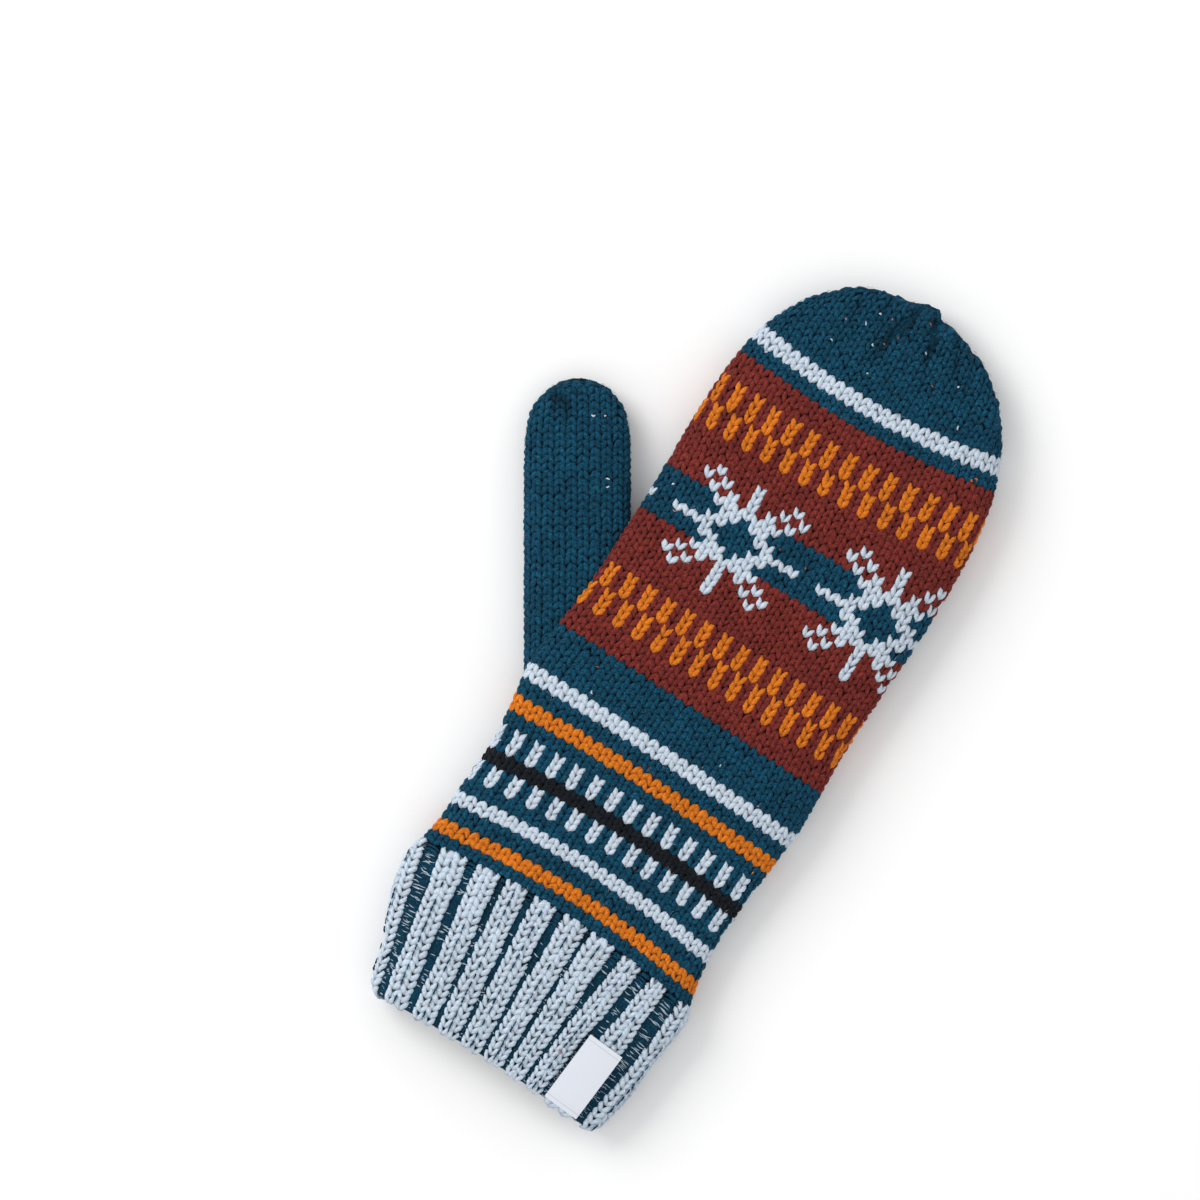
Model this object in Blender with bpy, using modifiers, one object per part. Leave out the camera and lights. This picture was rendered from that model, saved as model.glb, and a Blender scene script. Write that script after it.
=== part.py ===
"""A knitted mitten for the right hand, lying palm down with its thumb spread to the left.

+Y runs from the wrist to the fingertips, +X to the right and +Z up. The mitten rests on Z = 0,
and the origin is below the middle of the whole mitten.
"""

import math
from collections import namedtuple

import bmesh
import bpy
import numpy as np

MM = 0.001

# The hand, from the top of the cuff to the gathered tip
HAND_LENGTH = 231.4 * MM
HAND_WIDTH = 99 * MM
HAND_DEPTH = 21 * MM

# The ribbed cuff
CUFF_LENGTH = 49.7 * MM
CUFF_WIDTH = 106 * MM
CUFF_DEPTH = 20 * MM
RIB_COUNT = 20
RIB_RELIEF = 1.4 * MM
RIB_CROWDING = 0.12

# The thumb, from its root inside the hand to its gathered tip
THUMB_LENGTH = 119 * MM
THUMB_WIDTH = 34.5 * MM
THUMB_DEPTH = 15 * MM
THUMB_SPREAD = math.radians(31)
THUMB_ROOT_X = -0.51 * HAND_WIDTH / 2
THUMB_ROOT_Y = CUFF_LENGTH + 0.222 * HAND_LENGTH

# The woven tag on the cuff
TAG_WIDTH = 12.4 * MM
TAG_LENGTH = 24.5 * MM
TAG_THICKNESS = 0.8 * MM
TAG_LEAN = math.radians(5.7)
TAG_X = 0.54 * CUFF_WIDTH / 2
TAG_RISE = 0.9 * MM
TAG_CLEARANCE = 0.4 * MM

# The knitted cloth and the way its rows run
WALL = 3 * MM
CLEARANCE = 0.3 * MM
ROW_BOW = 5 * MM

# The gathers at the two tips
CROWN_FOLDS = 12
CROWN_FOLD_RELIEF = 1.3 * MM
THUMB_FOLDS = 8
THUMB_FOLD_RELIEF = 0.6 * MM

# The roundness of a cross-section, above and below its widest line
TOP_ROUND = 3.0
UNDER_ROUND = 3.2

# Rings from a section table, and points round each ring
HAND_RING_COUNT = 25
HAND_POINT_COUNT = 60
THUMB_RING_COUNT = 16
THUMB_POINT_COUNT = 32
CUFF_RING_COUNT = 10
OUTLINE_COUNT = 720
TAG_COLUMN_COUNT = 6
TAG_LINE_COUNT = 8
SHARP_ANGLE = math.radians(50)

# One rib and the groove after it: how far each point lies below the crest, as a share of
# RIB_RELIEF. The dip is between the rib's two columns of stitches.
RIB_PROFILE = (0.35, 0.0, 0.18, 0.0, 0.35, 1.0)

# A row of a section table. along: share of the piece's length. left, right: shares of half its
# width. top, bottom: heights as shares of its depth, and what is below 0 is pressed flat.
# left_side: where the left edge is widest, as a share of the depth. bow: how far the knitted row
# runs ahead at its middle, and tilt: how far it runs ahead at its right end, both as shares of
# ROW_BOW. relief: the share of the folds' or ribs' full depth.
Row = namedtuple("Row", "along left right top bottom left_side bow tilt relief")

HAND_ROWS = [
    Row(0.000, 1.080, 0.975, 0.87, -0.06, 0.45, 0.95, -0.28, 0.0),
    Row(0.035, 1.050, 0.935, 0.84, -0.06, 0.45, 0.92, -0.26, 0.0),
    Row(0.095, 1.036, 0.912, 0.85, -0.06, 0.46, 0.80, -0.22, 0.0),
    Row(0.169, 1.012, 0.937, 0.90, -0.06, 0.50, 0.55, -0.25, 0.0),
    Row(0.229, 1.040, 0.964, 0.95, -0.06, 0.56, 0.30, -0.32, 0.0),
    Row(0.288, 1.072, 0.992, 0.99, -0.06, 0.64, 0.15, -0.38, 0.0),
    Row(0.344, 1.045, 0.990, 1.00, -0.06, 0.70, 0.10, -0.40, 0.0),
    Row(0.420, 1.000, 0.982, 1.00, -0.06, 0.71, 0.05, -0.36, 0.0),
    Row(0.511, 0.984, 1.002, 1.00, -0.06, 0.66, 0.00, -0.15, 0.0),
    Row(0.605, 0.972, 1.028, 1.00, -0.06, 0.54, -0.05, 0.10, 0.0),
    Row(0.709, 0.976, 1.024, 0.99, -0.06, 0.48, -0.28, 0.28, 0.0),
    Row(0.792, 0.958, 0.980, 0.97, -0.06, 0.46, -0.66, 0.28, 0.05),
    Row(0.859, 0.899, 0.883, 0.92, -0.05, 0.45, -0.88, 0.22, 0.2),
    Row(0.905, 0.800, 0.762, 0.85, -0.02, 0.44, -0.76, 0.14, 0.5),
    Row(0.940, 0.676, 0.632, 0.77, 0.03, 0.42, -0.50, 0.08, 0.9),
    Row(0.964, 0.535, 0.480, 0.69, 0.09, 0.41, -0.28, 0.04, 1.0),
    Row(0.980, 0.340, 0.290, 0.62, 0.16, 0.40, -0.08, 0.00, 0.9),
    Row(0.990, 0.150, 0.120, 0.54, 0.24, 0.39, 0.00, 0.00, 0.4),
    Row(1.000, 0.040, 0.040, 0.46, 0.33, 0.39, 0.00, 0.00, 0.0),
]

CUFF_ROWS = [
    Row(0.000, 0.770, 0.765, 0.80, -0.02, 0.44, 0.40, -0.22, 0.7),
    Row(0.045, 0.822, 0.820, 0.86, -0.06, 0.45, 0.40, -0.22, 1.0),
    Row(0.150, 0.850, 0.855, 0.88, -0.06, 0.45, 0.42, -0.22, 1.0),
    Row(0.320, 0.886, 0.888, 0.92, -0.06, 0.46, 0.47, -0.23, 1.0),
    Row(0.460, 0.950, 0.897, 0.95, -0.06, 0.46, 0.54, -0.24, 1.0),
    Row(0.590, 1.002, 0.908, 0.98, -0.06, 0.46, 0.64, -0.25, 1.0),
    Row(0.755, 1.042, 0.930, 1.00, -0.06, 0.46, 0.75, -0.27, 1.0),
    Row(0.920, 1.046, 0.950, 1.00, -0.06, 0.46, 0.88, -0.28, 0.9),
    Row(1.000, 1.020, 0.925, 0.95, -0.06, 0.46, 0.95, -0.28, 0.3),
]

THUMB_ROWS = [
    Row(0.000, 1.000, 1.000, 1.00, -0.08, 0.48, 0.0, 0.0, 0.0),
    Row(0.300, 1.000, 1.000, 1.00, -0.08, 0.48, 0.0, 0.0, 0.0),
    Row(0.550, 1.000, 1.000, 1.00, -0.08, 0.48, 0.0, 0.0, 0.0),
    Row(0.750, 1.000, 1.000, 0.98, -0.08, 0.48, 0.0, 0.0, 0.0),
    Row(0.850, 0.975, 0.990, 0.95, -0.07, 0.47, 0.0, 0.0, 0.2),
    Row(0.905, 0.900, 0.920, 0.90, -0.03, 0.46, 0.0, 0.0, 0.6),
    Row(0.950, 0.735, 0.770, 0.81, 0.04, 0.44, 0.0, 0.0, 1.0),
    Row(0.980, 0.470, 0.530, 0.70, 0.14, 0.43, 0.0, 0.0, 0.8),
    Row(0.995, 0.210, 0.240, 0.59, 0.26, 0.43, 0.0, 0.0, 0.3),
    Row(1.000, 0.060, 0.060, 0.50, 0.36, 0.43, 0.0, 0.0, 0.0),
]

# Where the right edge of a section is widest, as a share of its depth, before half of its row's
# bottom is added
RIGHT_SIDE = 0.46

# Colours, as linear red, green and blue
TEAL = (0.008, 0.068, 0.120)
ICE_BLUE = (0.540, 0.640, 0.740)
TAG_WHITE = (0.720, 0.745, 0.800)
WOOL_ROUGHNESS = 0.92
TAG_ROUGHNESS = 0.75

# How large a piece is before its section table shapes it. crowding: how much closer together the
# points of a ring are over the top than all round, as a share.
Size = namedtuple("Size", "start length width depth crowding")

HAND_SIZE = Size(CUFF_LENGTH + CLEARANCE, HAND_LENGTH, HAND_WIDTH, HAND_DEPTH, 0.0)
CUFF_SIZE = Size(0.0, CUFF_LENGTH, CUFF_WIDTH, CUFF_DEPTH, RIB_CROWDING)
THUMB_SIZE = Size(0.0, THUMB_LENGTH, THUMB_WIDTH, THUMB_DEPTH, 0.0)


def row_at(rows, station):
    """The table's row at a fractional row number, on a smooth curve through its rows."""
    low = min(int(station), len(rows) - 2)
    part = station - low
    before = np.array(rows[max(low - 1, 0)])
    start = np.array(rows[low])
    end = np.array(rows[low + 1])
    after = np.array(rows[min(low + 2, len(rows) - 1)])
    bend = 2 * before - 5 * start + 4 * end - after
    turn = 3 * start - before - 3 * end + after
    return Row(*(start + 0.5 * part * ((end - before) + part * (bend + part * turn))))


def rounded(angle, power):
    """Sideways and upward shares of a superellipse at an angle from its top."""
    across = np.sin(angle)
    upward = np.cos(angle)
    return (
        np.sign(across) * np.abs(across) ** (2 / power),
        np.sign(upward) * np.abs(upward) ** (2 / power),
    )


def section(row, size, inset):
    """A finely sampled cross-section, clockwise from its top middle, as X and Z."""
    angle = np.linspace(0, 2 * math.pi, OUTLINE_COUNT, endpoint=False)
    above = np.cos(angle) > 0
    top_across, top_up = rounded(angle, TOP_ROUND)
    under_across, under_up = rounded(angle, UNDER_ROUND)
    across = np.where(above, top_across, under_across)
    up = np.where(above, top_up, under_up)
    half_width = size.width / 2 - inset
    depth = size.depth - 2 * inset
    x = across * half_width * np.where(across < 0, row.left, row.right)
    side = np.where(across < 0, row.left_side, RIGHT_SIDE + row.bottom / 2)
    height = side + up * np.where(above, row.top - side, side - row.bottom)
    z = inset + depth * np.maximum(height, 0)
    return x, z


def spread(x, z, count, crowding):
    """Points round an outline from its top middle, as many down its right as up its left."""
    x = np.append(x, x[0])
    z = np.append(z, z[0])
    way = np.concatenate(([0], np.cumsum(np.hypot(np.diff(x), np.diff(z)))))
    turn = np.linspace(0, 2 * math.pi, count, endpoint=False)
    halves = (turn - crowding * np.sin(turn)) / math.pi
    place = np.interp(halves, [0, 1, 2], [0, way[OUTLINE_COUNT // 2], way[-1]])
    return np.interp(place, way, x), np.interp(place, way, z)


def lead(row, size, x):
    """How far a knitted row runs ahead of its section's plane at a place across it."""
    middle = (row.right - row.left) / 2
    half = (row.right + row.left) / 2
    share = (x / (size.width / 2) - middle) / half
    return ROW_BOW * (row.bow * (1 - share**2) + row.tilt * share)


def ring(row, size, inset, count, relief):
    """One closed ring of points round a piece. relief holds how far each point is drawn in."""
    x, z = spread(*section(row, size, inset), count, size.crowding)
    along_x = np.roll(x, -1) - np.roll(x, 1)
    along_z = np.roll(z, -1) - np.roll(z, 1)
    length = np.hypot(along_x, along_z)
    x = x + relief * along_z / length
    z = np.maximum(z - relief * along_x / length, inset)
    y = size.start + row.along * (size.length - max(inset, 0)) + lead(row, size, x)
    return np.stack([x, y, z], axis=1)


def folds(count, number):
    """The depth of each point of a gathered ring below its folds' crests, from 0 to 1."""
    turn = np.arange(count) / count * number
    return 1 - np.abs(np.sin(math.pi * turn))


def rings(rows, size, inset, ring_count, count, depths):
    """Rings from a piece's open end to its far end."""
    found = []
    for k in range(ring_count):
        row = row_at(rows, k / (ring_count - 1) * (len(rows) - 1))
        found.append(ring(row, size, inset, count, depths * row.relief))
    return found


def add_loops(bm, found):
    """The rings as loops of new vertices."""
    return [[bm.verts.new(point) for point in points] for points in found]


def bridge(bm, one, other):
    """Quads from one loop to the next, which face outward where the next lies further along +Y."""
    for k in range(len(one)):
        after = (k + 1) % len(one)
        bm.faces.new((one[k], one[after], other[after], other[k]))


def close_end(bm, loop):
    """A fan over a loop, which faces the way that the bridges to the loop run."""
    middle = sum((v.co for v in loop), loop[0].co * 0) / len(loop)
    pole = bm.verts.new(middle)
    for k in range(len(loop)):
        bm.faces.new((loop[k], loop[(k + 1) % len(loop)], pole))


def new_object(name, bm, collection):
    """Turns a bmesh into a named, smooth-shaded object."""
    mesh = bpy.data.meshes.new(name)
    bm.to_mesh(mesh)
    bm.free()
    mesh.shade_smooth()
    mesh.set_sharp_from_angle(angle=SHARP_ANGLE)
    made = bpy.data.objects.new(name, mesh)
    collection.objects.link(made)
    return made


def cloth_bag(name, outer, inner, collection):
    """A knitted bag: an outer and an inner skin, closed at the tip and joined at the mouth."""
    bm = bmesh.new()
    outside = add_loops(bm, outer)
    inside = [loop[::-1] for loop in add_loops(bm, inner)]
    for loops in (outside, inside):
        for one, other in zip(loops, loops[1:]):
            bridge(bm, one, other)
        close_end(bm, loops[-1])
    bridge(bm, inside[0][::-1], outside[0])
    return new_object(name, bm, collection)


def cloth_tube(name, outer, inner, collection):
    """A knitted tube with a wall, open at both ends."""
    bm = bmesh.new()
    outside = add_loops(bm, outer)
    inside = add_loops(bm, inner)
    round_trip = outside + inside[::-1]
    for one, other in zip(round_trip, round_trip[1:] + round_trip[:1]):
        bridge(bm, one, other)
    return new_object(name, bm, collection)


def full_form(name, skin, collection):
    """A solid with the shape of one skin, for cutting another piece."""
    bm = bmesh.new()
    loops = add_loops(bm, skin)
    for one, other in zip(loops, loops[1:]):
        bridge(bm, one, other)
    close_end(bm, loops[0][::-1])
    close_end(bm, loops[-1])
    made = new_object(name, bm, collection)
    made.display_type = "WIRE"
    made.hide_render = True
    return made


def hand_rings(inset, relief):
    """The skin of the hand, drawn in by inset."""
    depths = folds(HAND_POINT_COUNT, CROWN_FOLDS) * relief
    return rings(HAND_ROWS, HAND_SIZE, inset, HAND_RING_COUNT, HAND_POINT_COUNT, depths)


def thumb_rings(inset, relief):
    """The skin of the thumb, turned and moved to its root in the hand."""
    depths = folds(THUMB_POINT_COUNT, THUMB_FOLDS) * relief
    straight = rings(THUMB_ROWS, THUMB_SIZE, inset, THUMB_RING_COUNT, THUMB_POINT_COUNT, depths)
    cos = math.cos(THUMB_SPREAD)
    sin = math.sin(THUMB_SPREAD)
    placed = []
    for points in straight:
        x, y, z = points.T
        placed.append(
            np.stack([THUMB_ROOT_X + x * cos - y * sin, THUMB_ROOT_Y + x * sin + y * cos, z], axis=1)
        )
    return placed


def cuff_rings(inset, relief):
    """The skin of the cuff."""
    depths = np.tile(RIB_PROFILE, RIB_COUNT) * relief
    return rings(CUFF_ROWS, CUFF_SIZE, inset, CUFF_RING_COUNT, len(depths), depths)


def cut(piece, cutter):
    """Takes the cutter's form out of a piece."""
    modifier = piece.modifiers.new("cut_" + cutter.name, "BOOLEAN")
    modifier.operation = "DIFFERENCE"
    modifier.solver = "EXACT"
    modifier.object = cutter


def cuff_top(x, y):
    """The height of the ribs' crests above a place on the cuff's right half."""
    found = []
    for station in np.linspace(0, len(CUFF_ROWS) - 1, OUTLINE_COUNT // 10):
        row = row_at(CUFF_ROWS, station)
        side = RIGHT_SIDE + row.bottom / 2
        share = x / (row.right * CUFF_WIDTH / 2)
        rise = (1 - share**TOP_ROUND) ** (1 / TOP_ROUND)
        height = CUFF_DEPTH * (side + (row.top - side) * rise)
        found.append((row.along * CUFF_LENGTH + lead(row, CUFF_SIZE, x), height))
    return np.interp(y, *zip(*found))


def make_tag(collection):
    """The tag, bent over the crests of the ribs just above the hem."""
    bm = bmesh.new()
    bmesh.ops.create_grid(bm, x_segments=TAG_COLUMN_COUNT, y_segments=TAG_LINE_COUNT, size=0.5)
    for vertex in bm.verts:
        across = vertex.co.x * TAG_WIDTH
        up = (vertex.co.y + 0.5) * TAG_LENGTH
        x = TAG_X + across * math.cos(TAG_LEAN) + up * math.sin(TAG_LEAN)
        y = TAG_RISE + up * math.cos(TAG_LEAN) - across * math.sin(TAG_LEAN)
        vertex.co = (x, y, cuff_top(x, y) + TAG_CLEARANCE)
    made = new_object("tag", bm, collection)
    solid = made.modifiers.new("thickness", "SOLIDIFY")
    solid.thickness = TAG_THICKNESS
    solid.offset = 1
    return made


def finish(name, colour, roughness):
    """A plain material."""
    material = bpy.data.materials.new(name)
    material.use_nodes = True
    shader = material.node_tree.nodes["Principled BSDF"]
    shader.inputs["Base Color"].default_value = (*colour, 1)
    shader.inputs["Roughness"].default_value = roughness
    shader.inputs["Metallic"].default_value = 0
    material.diffuse_color = (*colour, 1)
    return material


def new_collection(name):
    """A collection in the scene."""
    made = bpy.data.collections.new(name)
    bpy.context.scene.collection.children.link(made)
    return made


def centre(objects):
    """Moves everything so that the origin is below the middle of the mitten."""
    low = np.full(3, np.inf)
    high = np.full(3, -np.inf)
    for points in hand_rings(0, CROWN_FOLD_RELIEF) + cuff_rings(0, RIB_RELIEF) + thumb_rings(0, 0):
        low = np.minimum(low, points.min(axis=0))
        high = np.maximum(high, points.max(axis=0))
    for thing in objects:
        thing.location.x = -(low[0] + high[0]) / 2
        thing.location.y = -(low[1] + high[1]) / 2


def build():
    for old in list(bpy.data.objects):
        bpy.data.objects.remove(old)
    parts = new_collection("mitten")
    cutters = new_collection("cutters")

    hand = cloth_bag("hand", hand_rings(0, CROWN_FOLD_RELIEF), hand_rings(WALL, 0), parts)
    thumb = cloth_bag("thumb", thumb_rings(0, THUMB_FOLD_RELIEF), thumb_rings(WALL, 0), parts)
    cuff = cloth_tube("cuff", cuff_rings(0, RIB_RELIEF), cuff_rings(WALL, 0), parts)
    tag = make_tag(parts)

    hand_form = full_form("hand_form", hand_rings(-CLEARANCE, 0), cutters)
    thumb_space = full_form("thumb_space", thumb_rings(WALL + CLEARANCE, 0), cutters)
    cut(thumb, hand_form)
    cut(hand, thumb_space)

    centre([hand, thumb, cuff, tag, hand_form, thumb_space])

    hand.data.materials.append(finish("hand_wool", TEAL, WOOL_ROUGHNESS))
    thumb.data.materials.append(finish("thumb_wool", TEAL, WOOL_ROUGHNESS))
    cuff.data.materials.append(finish("cuff_wool", ICE_BLUE, WOOL_ROUGHNESS))
    tag.data.materials.append(finish("tag_cloth", TAG_WHITE, TAG_ROUGHNESS))


build()
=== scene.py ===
"""A knitted mitten laid on a pale floor and seen from straight above.

The mitten is dressed stitch by stitch over its CAD solids. Each stitch is a pair of yarn legs,
placed by its column round the mitten and its row along it. Lengths are in metres.
"""

import math
from collections import namedtuple

import bpy
import numpy as np
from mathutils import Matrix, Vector
from mathutils.bvhtree import BVHTree


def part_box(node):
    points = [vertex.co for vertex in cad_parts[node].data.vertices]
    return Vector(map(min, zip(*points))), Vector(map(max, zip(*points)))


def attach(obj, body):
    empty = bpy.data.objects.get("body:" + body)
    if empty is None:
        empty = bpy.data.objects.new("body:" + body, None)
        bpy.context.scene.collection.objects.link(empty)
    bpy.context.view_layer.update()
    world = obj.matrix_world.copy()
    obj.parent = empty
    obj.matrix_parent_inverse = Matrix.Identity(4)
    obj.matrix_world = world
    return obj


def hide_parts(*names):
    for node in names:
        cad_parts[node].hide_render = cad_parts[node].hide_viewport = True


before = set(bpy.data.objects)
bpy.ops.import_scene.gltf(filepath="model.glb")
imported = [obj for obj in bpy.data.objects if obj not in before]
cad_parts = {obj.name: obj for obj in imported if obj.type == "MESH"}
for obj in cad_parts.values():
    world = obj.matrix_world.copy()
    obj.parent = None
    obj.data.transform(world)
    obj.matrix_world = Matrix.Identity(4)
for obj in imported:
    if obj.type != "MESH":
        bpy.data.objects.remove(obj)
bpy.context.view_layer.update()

SEED = 7
random = np.random.default_rng(SEED)

MM = 0.001

# The sections of the mitten, as in the CAD solids
HAND_LENGTH = 231.4 * MM
HAND_WIDTH = 99 * MM
CUFF_LENGTH = 49.7 * MM
CLEARANCE = 0.3 * MM
WALL = 3 * MM
ROW_BOW = 5 * MM
TOP_ROUND = 3.0
UNDER_ROUND = 3.2
RIGHT_SIDE = 0.46
THUMB_SPREAD = math.radians(31)
THUMB_ROOT = (-0.51 * HAND_WIDTH / 2, CUFF_LENGTH + 0.222 * HAND_LENGTH)

Size = namedtuple("Size", "start length width depth")
HAND_SIZE = Size(CUFF_LENGTH + CLEARANCE, HAND_LENGTH, HAND_WIDTH, 21 * MM)
CUFF_SIZE = Size(0.0, CUFF_LENGTH, 106 * MM, 20 * MM)
THUMB_SIZE = Size(0.0, 119 * MM, 34.5 * MM, 15 * MM)

# along: share of the length. left, right: shares of half the width. top, bottom: heights as
# shares of the depth. left_side: where the left edge is widest, as a share of the depth. bow and
# tilt: how far a knitted row runs ahead at its middle and at its right end, as shares of ROW_BOW.
# Without them, rows run straight across.
Row = namedtuple("Row", "along left right top bottom left_side bow tilt", defaults=(0.0, 0.0))

HAND_ROWS = [
    (0.000, 1.080, 0.975, 0.87, -0.06, 0.45, 0.95, -0.28),
    (0.035, 1.050, 0.935, 0.84, -0.06, 0.45, 0.92, -0.26),
    (0.095, 1.036, 0.912, 0.85, -0.06, 0.46, 0.80, -0.22),
    (0.169, 1.012, 0.937, 0.90, -0.06, 0.50, 0.55, -0.25),
    (0.229, 1.040, 0.964, 0.95, -0.06, 0.56, 0.30, -0.32),
    (0.288, 1.072, 0.992, 0.99, -0.06, 0.64, 0.15, -0.38),
    (0.344, 1.045, 0.990, 1.00, -0.06, 0.70, 0.10, -0.40),
    (0.420, 1.000, 0.982, 1.00, -0.06, 0.71, 0.05, -0.36),
    (0.511, 0.984, 1.002, 1.00, -0.06, 0.66, 0.00, -0.15),
    (0.605, 0.972, 1.028, 1.00, -0.06, 0.54, -0.05, 0.10),
    (0.709, 0.976, 1.024, 0.99, -0.06, 0.48, -0.28, 0.28),
    (0.792, 0.958, 0.980, 0.97, -0.06, 0.46, -0.66, 0.28),
    (0.859, 0.899, 0.883, 0.92, -0.05, 0.45, -0.88, 0.22),
    (0.905, 0.800, 0.762, 0.85, -0.02, 0.44, -0.76, 0.14),
    (0.940, 0.676, 0.632, 0.77, 0.03, 0.42, -0.50, 0.08),
    (0.964, 0.535, 0.480, 0.69, 0.09, 0.41, -0.28, 0.04),
    (0.980, 0.340, 0.290, 0.62, 0.16, 0.40, -0.08, 0.00),
    (0.990, 0.150, 0.120, 0.54, 0.24, 0.39, 0.00, 0.00),
    (1.000, 0.040, 0.040, 0.46, 0.33, 0.39, 0.00, 0.00),
]

CUFF_ROWS = [
    (0.000, 0.770, 0.765, 0.80, -0.02, 0.44, 0.40, -0.22),
    (0.045, 0.822, 0.820, 0.86, -0.06, 0.45, 0.40, -0.22),
    (0.150, 0.850, 0.855, 0.88, -0.06, 0.45, 0.42, -0.22),
    (0.320, 0.886, 0.888, 0.92, -0.06, 0.46, 0.47, -0.23),
    (0.460, 0.950, 0.897, 0.95, -0.06, 0.46, 0.54, -0.24),
    (0.590, 1.002, 0.908, 0.98, -0.06, 0.46, 0.64, -0.25),
    (0.755, 1.042, 0.930, 1.00, -0.06, 0.46, 0.75, -0.27),
    (0.920, 1.046, 0.950, 1.00, -0.06, 0.46, 0.88, -0.28),
    (1.000, 1.020, 0.925, 0.95, -0.06, 0.46, 0.95, -0.28),
]

THUMB_ROWS = [
    (0.000, 1.000, 1.000, 1.00, -0.08, 0.48),
    (0.300, 1.000, 1.000, 1.00, -0.08, 0.48),
    (0.550, 1.000, 1.000, 1.00, -0.08, 0.48),
    (0.750, 1.000, 1.000, 0.98, -0.08, 0.48),
    (0.850, 0.975, 0.990, 0.95, -0.07, 0.47),
    (0.905, 0.900, 0.920, 0.90, -0.03, 0.46),
    (0.950, 0.735, 0.770, 0.81, 0.04, 0.44),
    (0.980, 0.470, 0.530, 0.70, 0.14, 0.43),
    (0.995, 0.210, 0.240, 0.59, 0.26, 0.43),
    (1.000, 0.060, 0.060, 0.50, 0.36, 0.43),
]

# The dense grid over each piece that its stitches stand on
SKIN_INSET = 1.0 * MM
SKIN_LINES = 420
SKIN_COLUMNS = 480
OUTLINE_SAMPLES = 720
COARSE_STEP = 5
FINE_STEPS = 4000
TINY = 1e-12

# The gauge of the knitting: stitches round each piece, and the pitch of its plain rows
HAND_STITCHES = 60
THUMB_STITCHES = 24
STITCH_WIDTH = 3.6 * MM
THUMB_PITCH = 2.46 * MM
CROWN_PITCH = 2.6 * MM

# Where the rows lie up the middle of the hand: row number and height above the hem's middle in mm.
# The first row starts off the skin, so its place is carried on from the next two. HEM_OFFSET is the
# Y of the hem's middle.
FRONT_ROWS = [
    (-2, 47.5), (0, 52.3), (2, 57.1), (6, 67.5), (10, 76.4), (15, 87.8), (20, 99.9), (24, 109.9),
    (32, 130.0), (35, 138.3), (38, 147.3), (41, 155.7), (44, 162.9), (57, 198.8), (61, 209.0),
    (64, 216.8), (70, 233.5), (72, 238.0), (74, 243.3),
]
HEM_OFFSET = 1.1 * MM

# How far the columns lean away from an even spacing, in mm to the right: a row number and the
# lean at each of the columns named first
LEAN_COLUMNS = (-30, -20, -13, -6, 0, 6, 13, 20, 30)
LEANS = [
    (14, (0, -0.5, -1.1, -0.3, 0.0, 1.6, 3.2, 1.6, 0)),
    (37, (0, 0.2, 0.5, 0.8, 0.7, 0.2, -0.7, -0.3, 0)),
    (50, (0, 0.0, 0.0, 1.0, 1.1, 0.5, -0.4, -0.2, 0)),
    (61, (0, -0.5, -1.0, -1.2, -0.7, -0.8, -1.5, -0.7, 0)),
    (65, (0, -1.0, -2.1, -2.2, -1.6, -1.2, -1.3, -0.6, 0)),
    (72, (0, -2.0, -4.1, -2.8, -1.5, -0.2, 1.1, 0.5, 0)),
]

# The tips are flat bags, whose columns keep their pitch up to this share of the way to the outline.
# The hand's columns change over to its bag between two rows.
BAG_FREE = 0.78
BAG_START = 71
BAG_FULL = 78
BAG_PITCH = 3.35 * MM
BAG_LEAN = -1.2 * MM
THUMB_BAG_PITCH = 3.5 * MM

# Where the top gathers, each crease from its upper end to its lower end as X and Y in mm from the
# hem's middle, with its depth and its half width in mm
CREASES = [
    ((2.2, 278.0), (6.4, 265.0), 4.0, 1.3),
    ((-3.6, 277.0), (-8.2, 260.0), 3.2, 1.6),
    ((-13.4, 275.0), (-11.8, 264.0), 1.8, 1.2),
    ((11.6, 276.0), (15.2, 266.5), 2.2, 1.0),
    ((19.0, 273.0), (21.5, 264.0), 1.2, 1.2),
    ((-22.0, 270.0), (-21.5, 262.0), 1.2, 1.2),
]

# How deep a crease is at places along it, from its lower end at 0 to its upper end at 1
CREASE_PLACES = (-0.6, 0.0, 0.6, 1.25)
CREASE_FADES = (0, 0.45, 1, 0.6)

# How much of its depth a crease is pressed in, how fast it fades where the skin turns away from
# above, the depth at which its painted shade is full, how much painted shade that is, and how far
# below the tip it is in full
CREASE_PRESS = 0.6
CREASE_FACING = 2
CREASE_FULL_SHADE_DEPTH = 2.4 * MM
CREASE_MOST_SHADE = 0.95
CREASE_START = 6 * MM

# The peak of the gathered top: places across it in mm and how far each is lifted in mm
PEAK_PLACES = (-30, -24, -20, -16, -12, -9, -6, -4, -2, 0, 1.4, 2.4, 3.4, 4.5, 6, 8, 11, 16, 26)
PEAK_LIFTS = (
    0, 1.9, 1.9, 1.5, 0.6, 0.1, 0, -0.1, -0.1, 0.2, 0.4, -1.0, -1.8, -1.2, -0.2, 0.2, 0.5, 0.2, 0,
)
PEAK_REACH = 14 * MM

# The creases of the thumb's gathered tip, from the end of the thumb's middle line
THUMB_CREASES = [
    ((-6.4, -2.5), (-7.6, -11.0), 2.4, 1.1),
    ((-4.6, -4.0), (-2.6, -13.0), 1.8, 1.1),
    ((-9.0, -4.0), (-12.0, -9.0), 1.0, 1.0),
    ((-2.0, -2.0), (4.0, -9.0), 0.9, 1.2),
]

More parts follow.
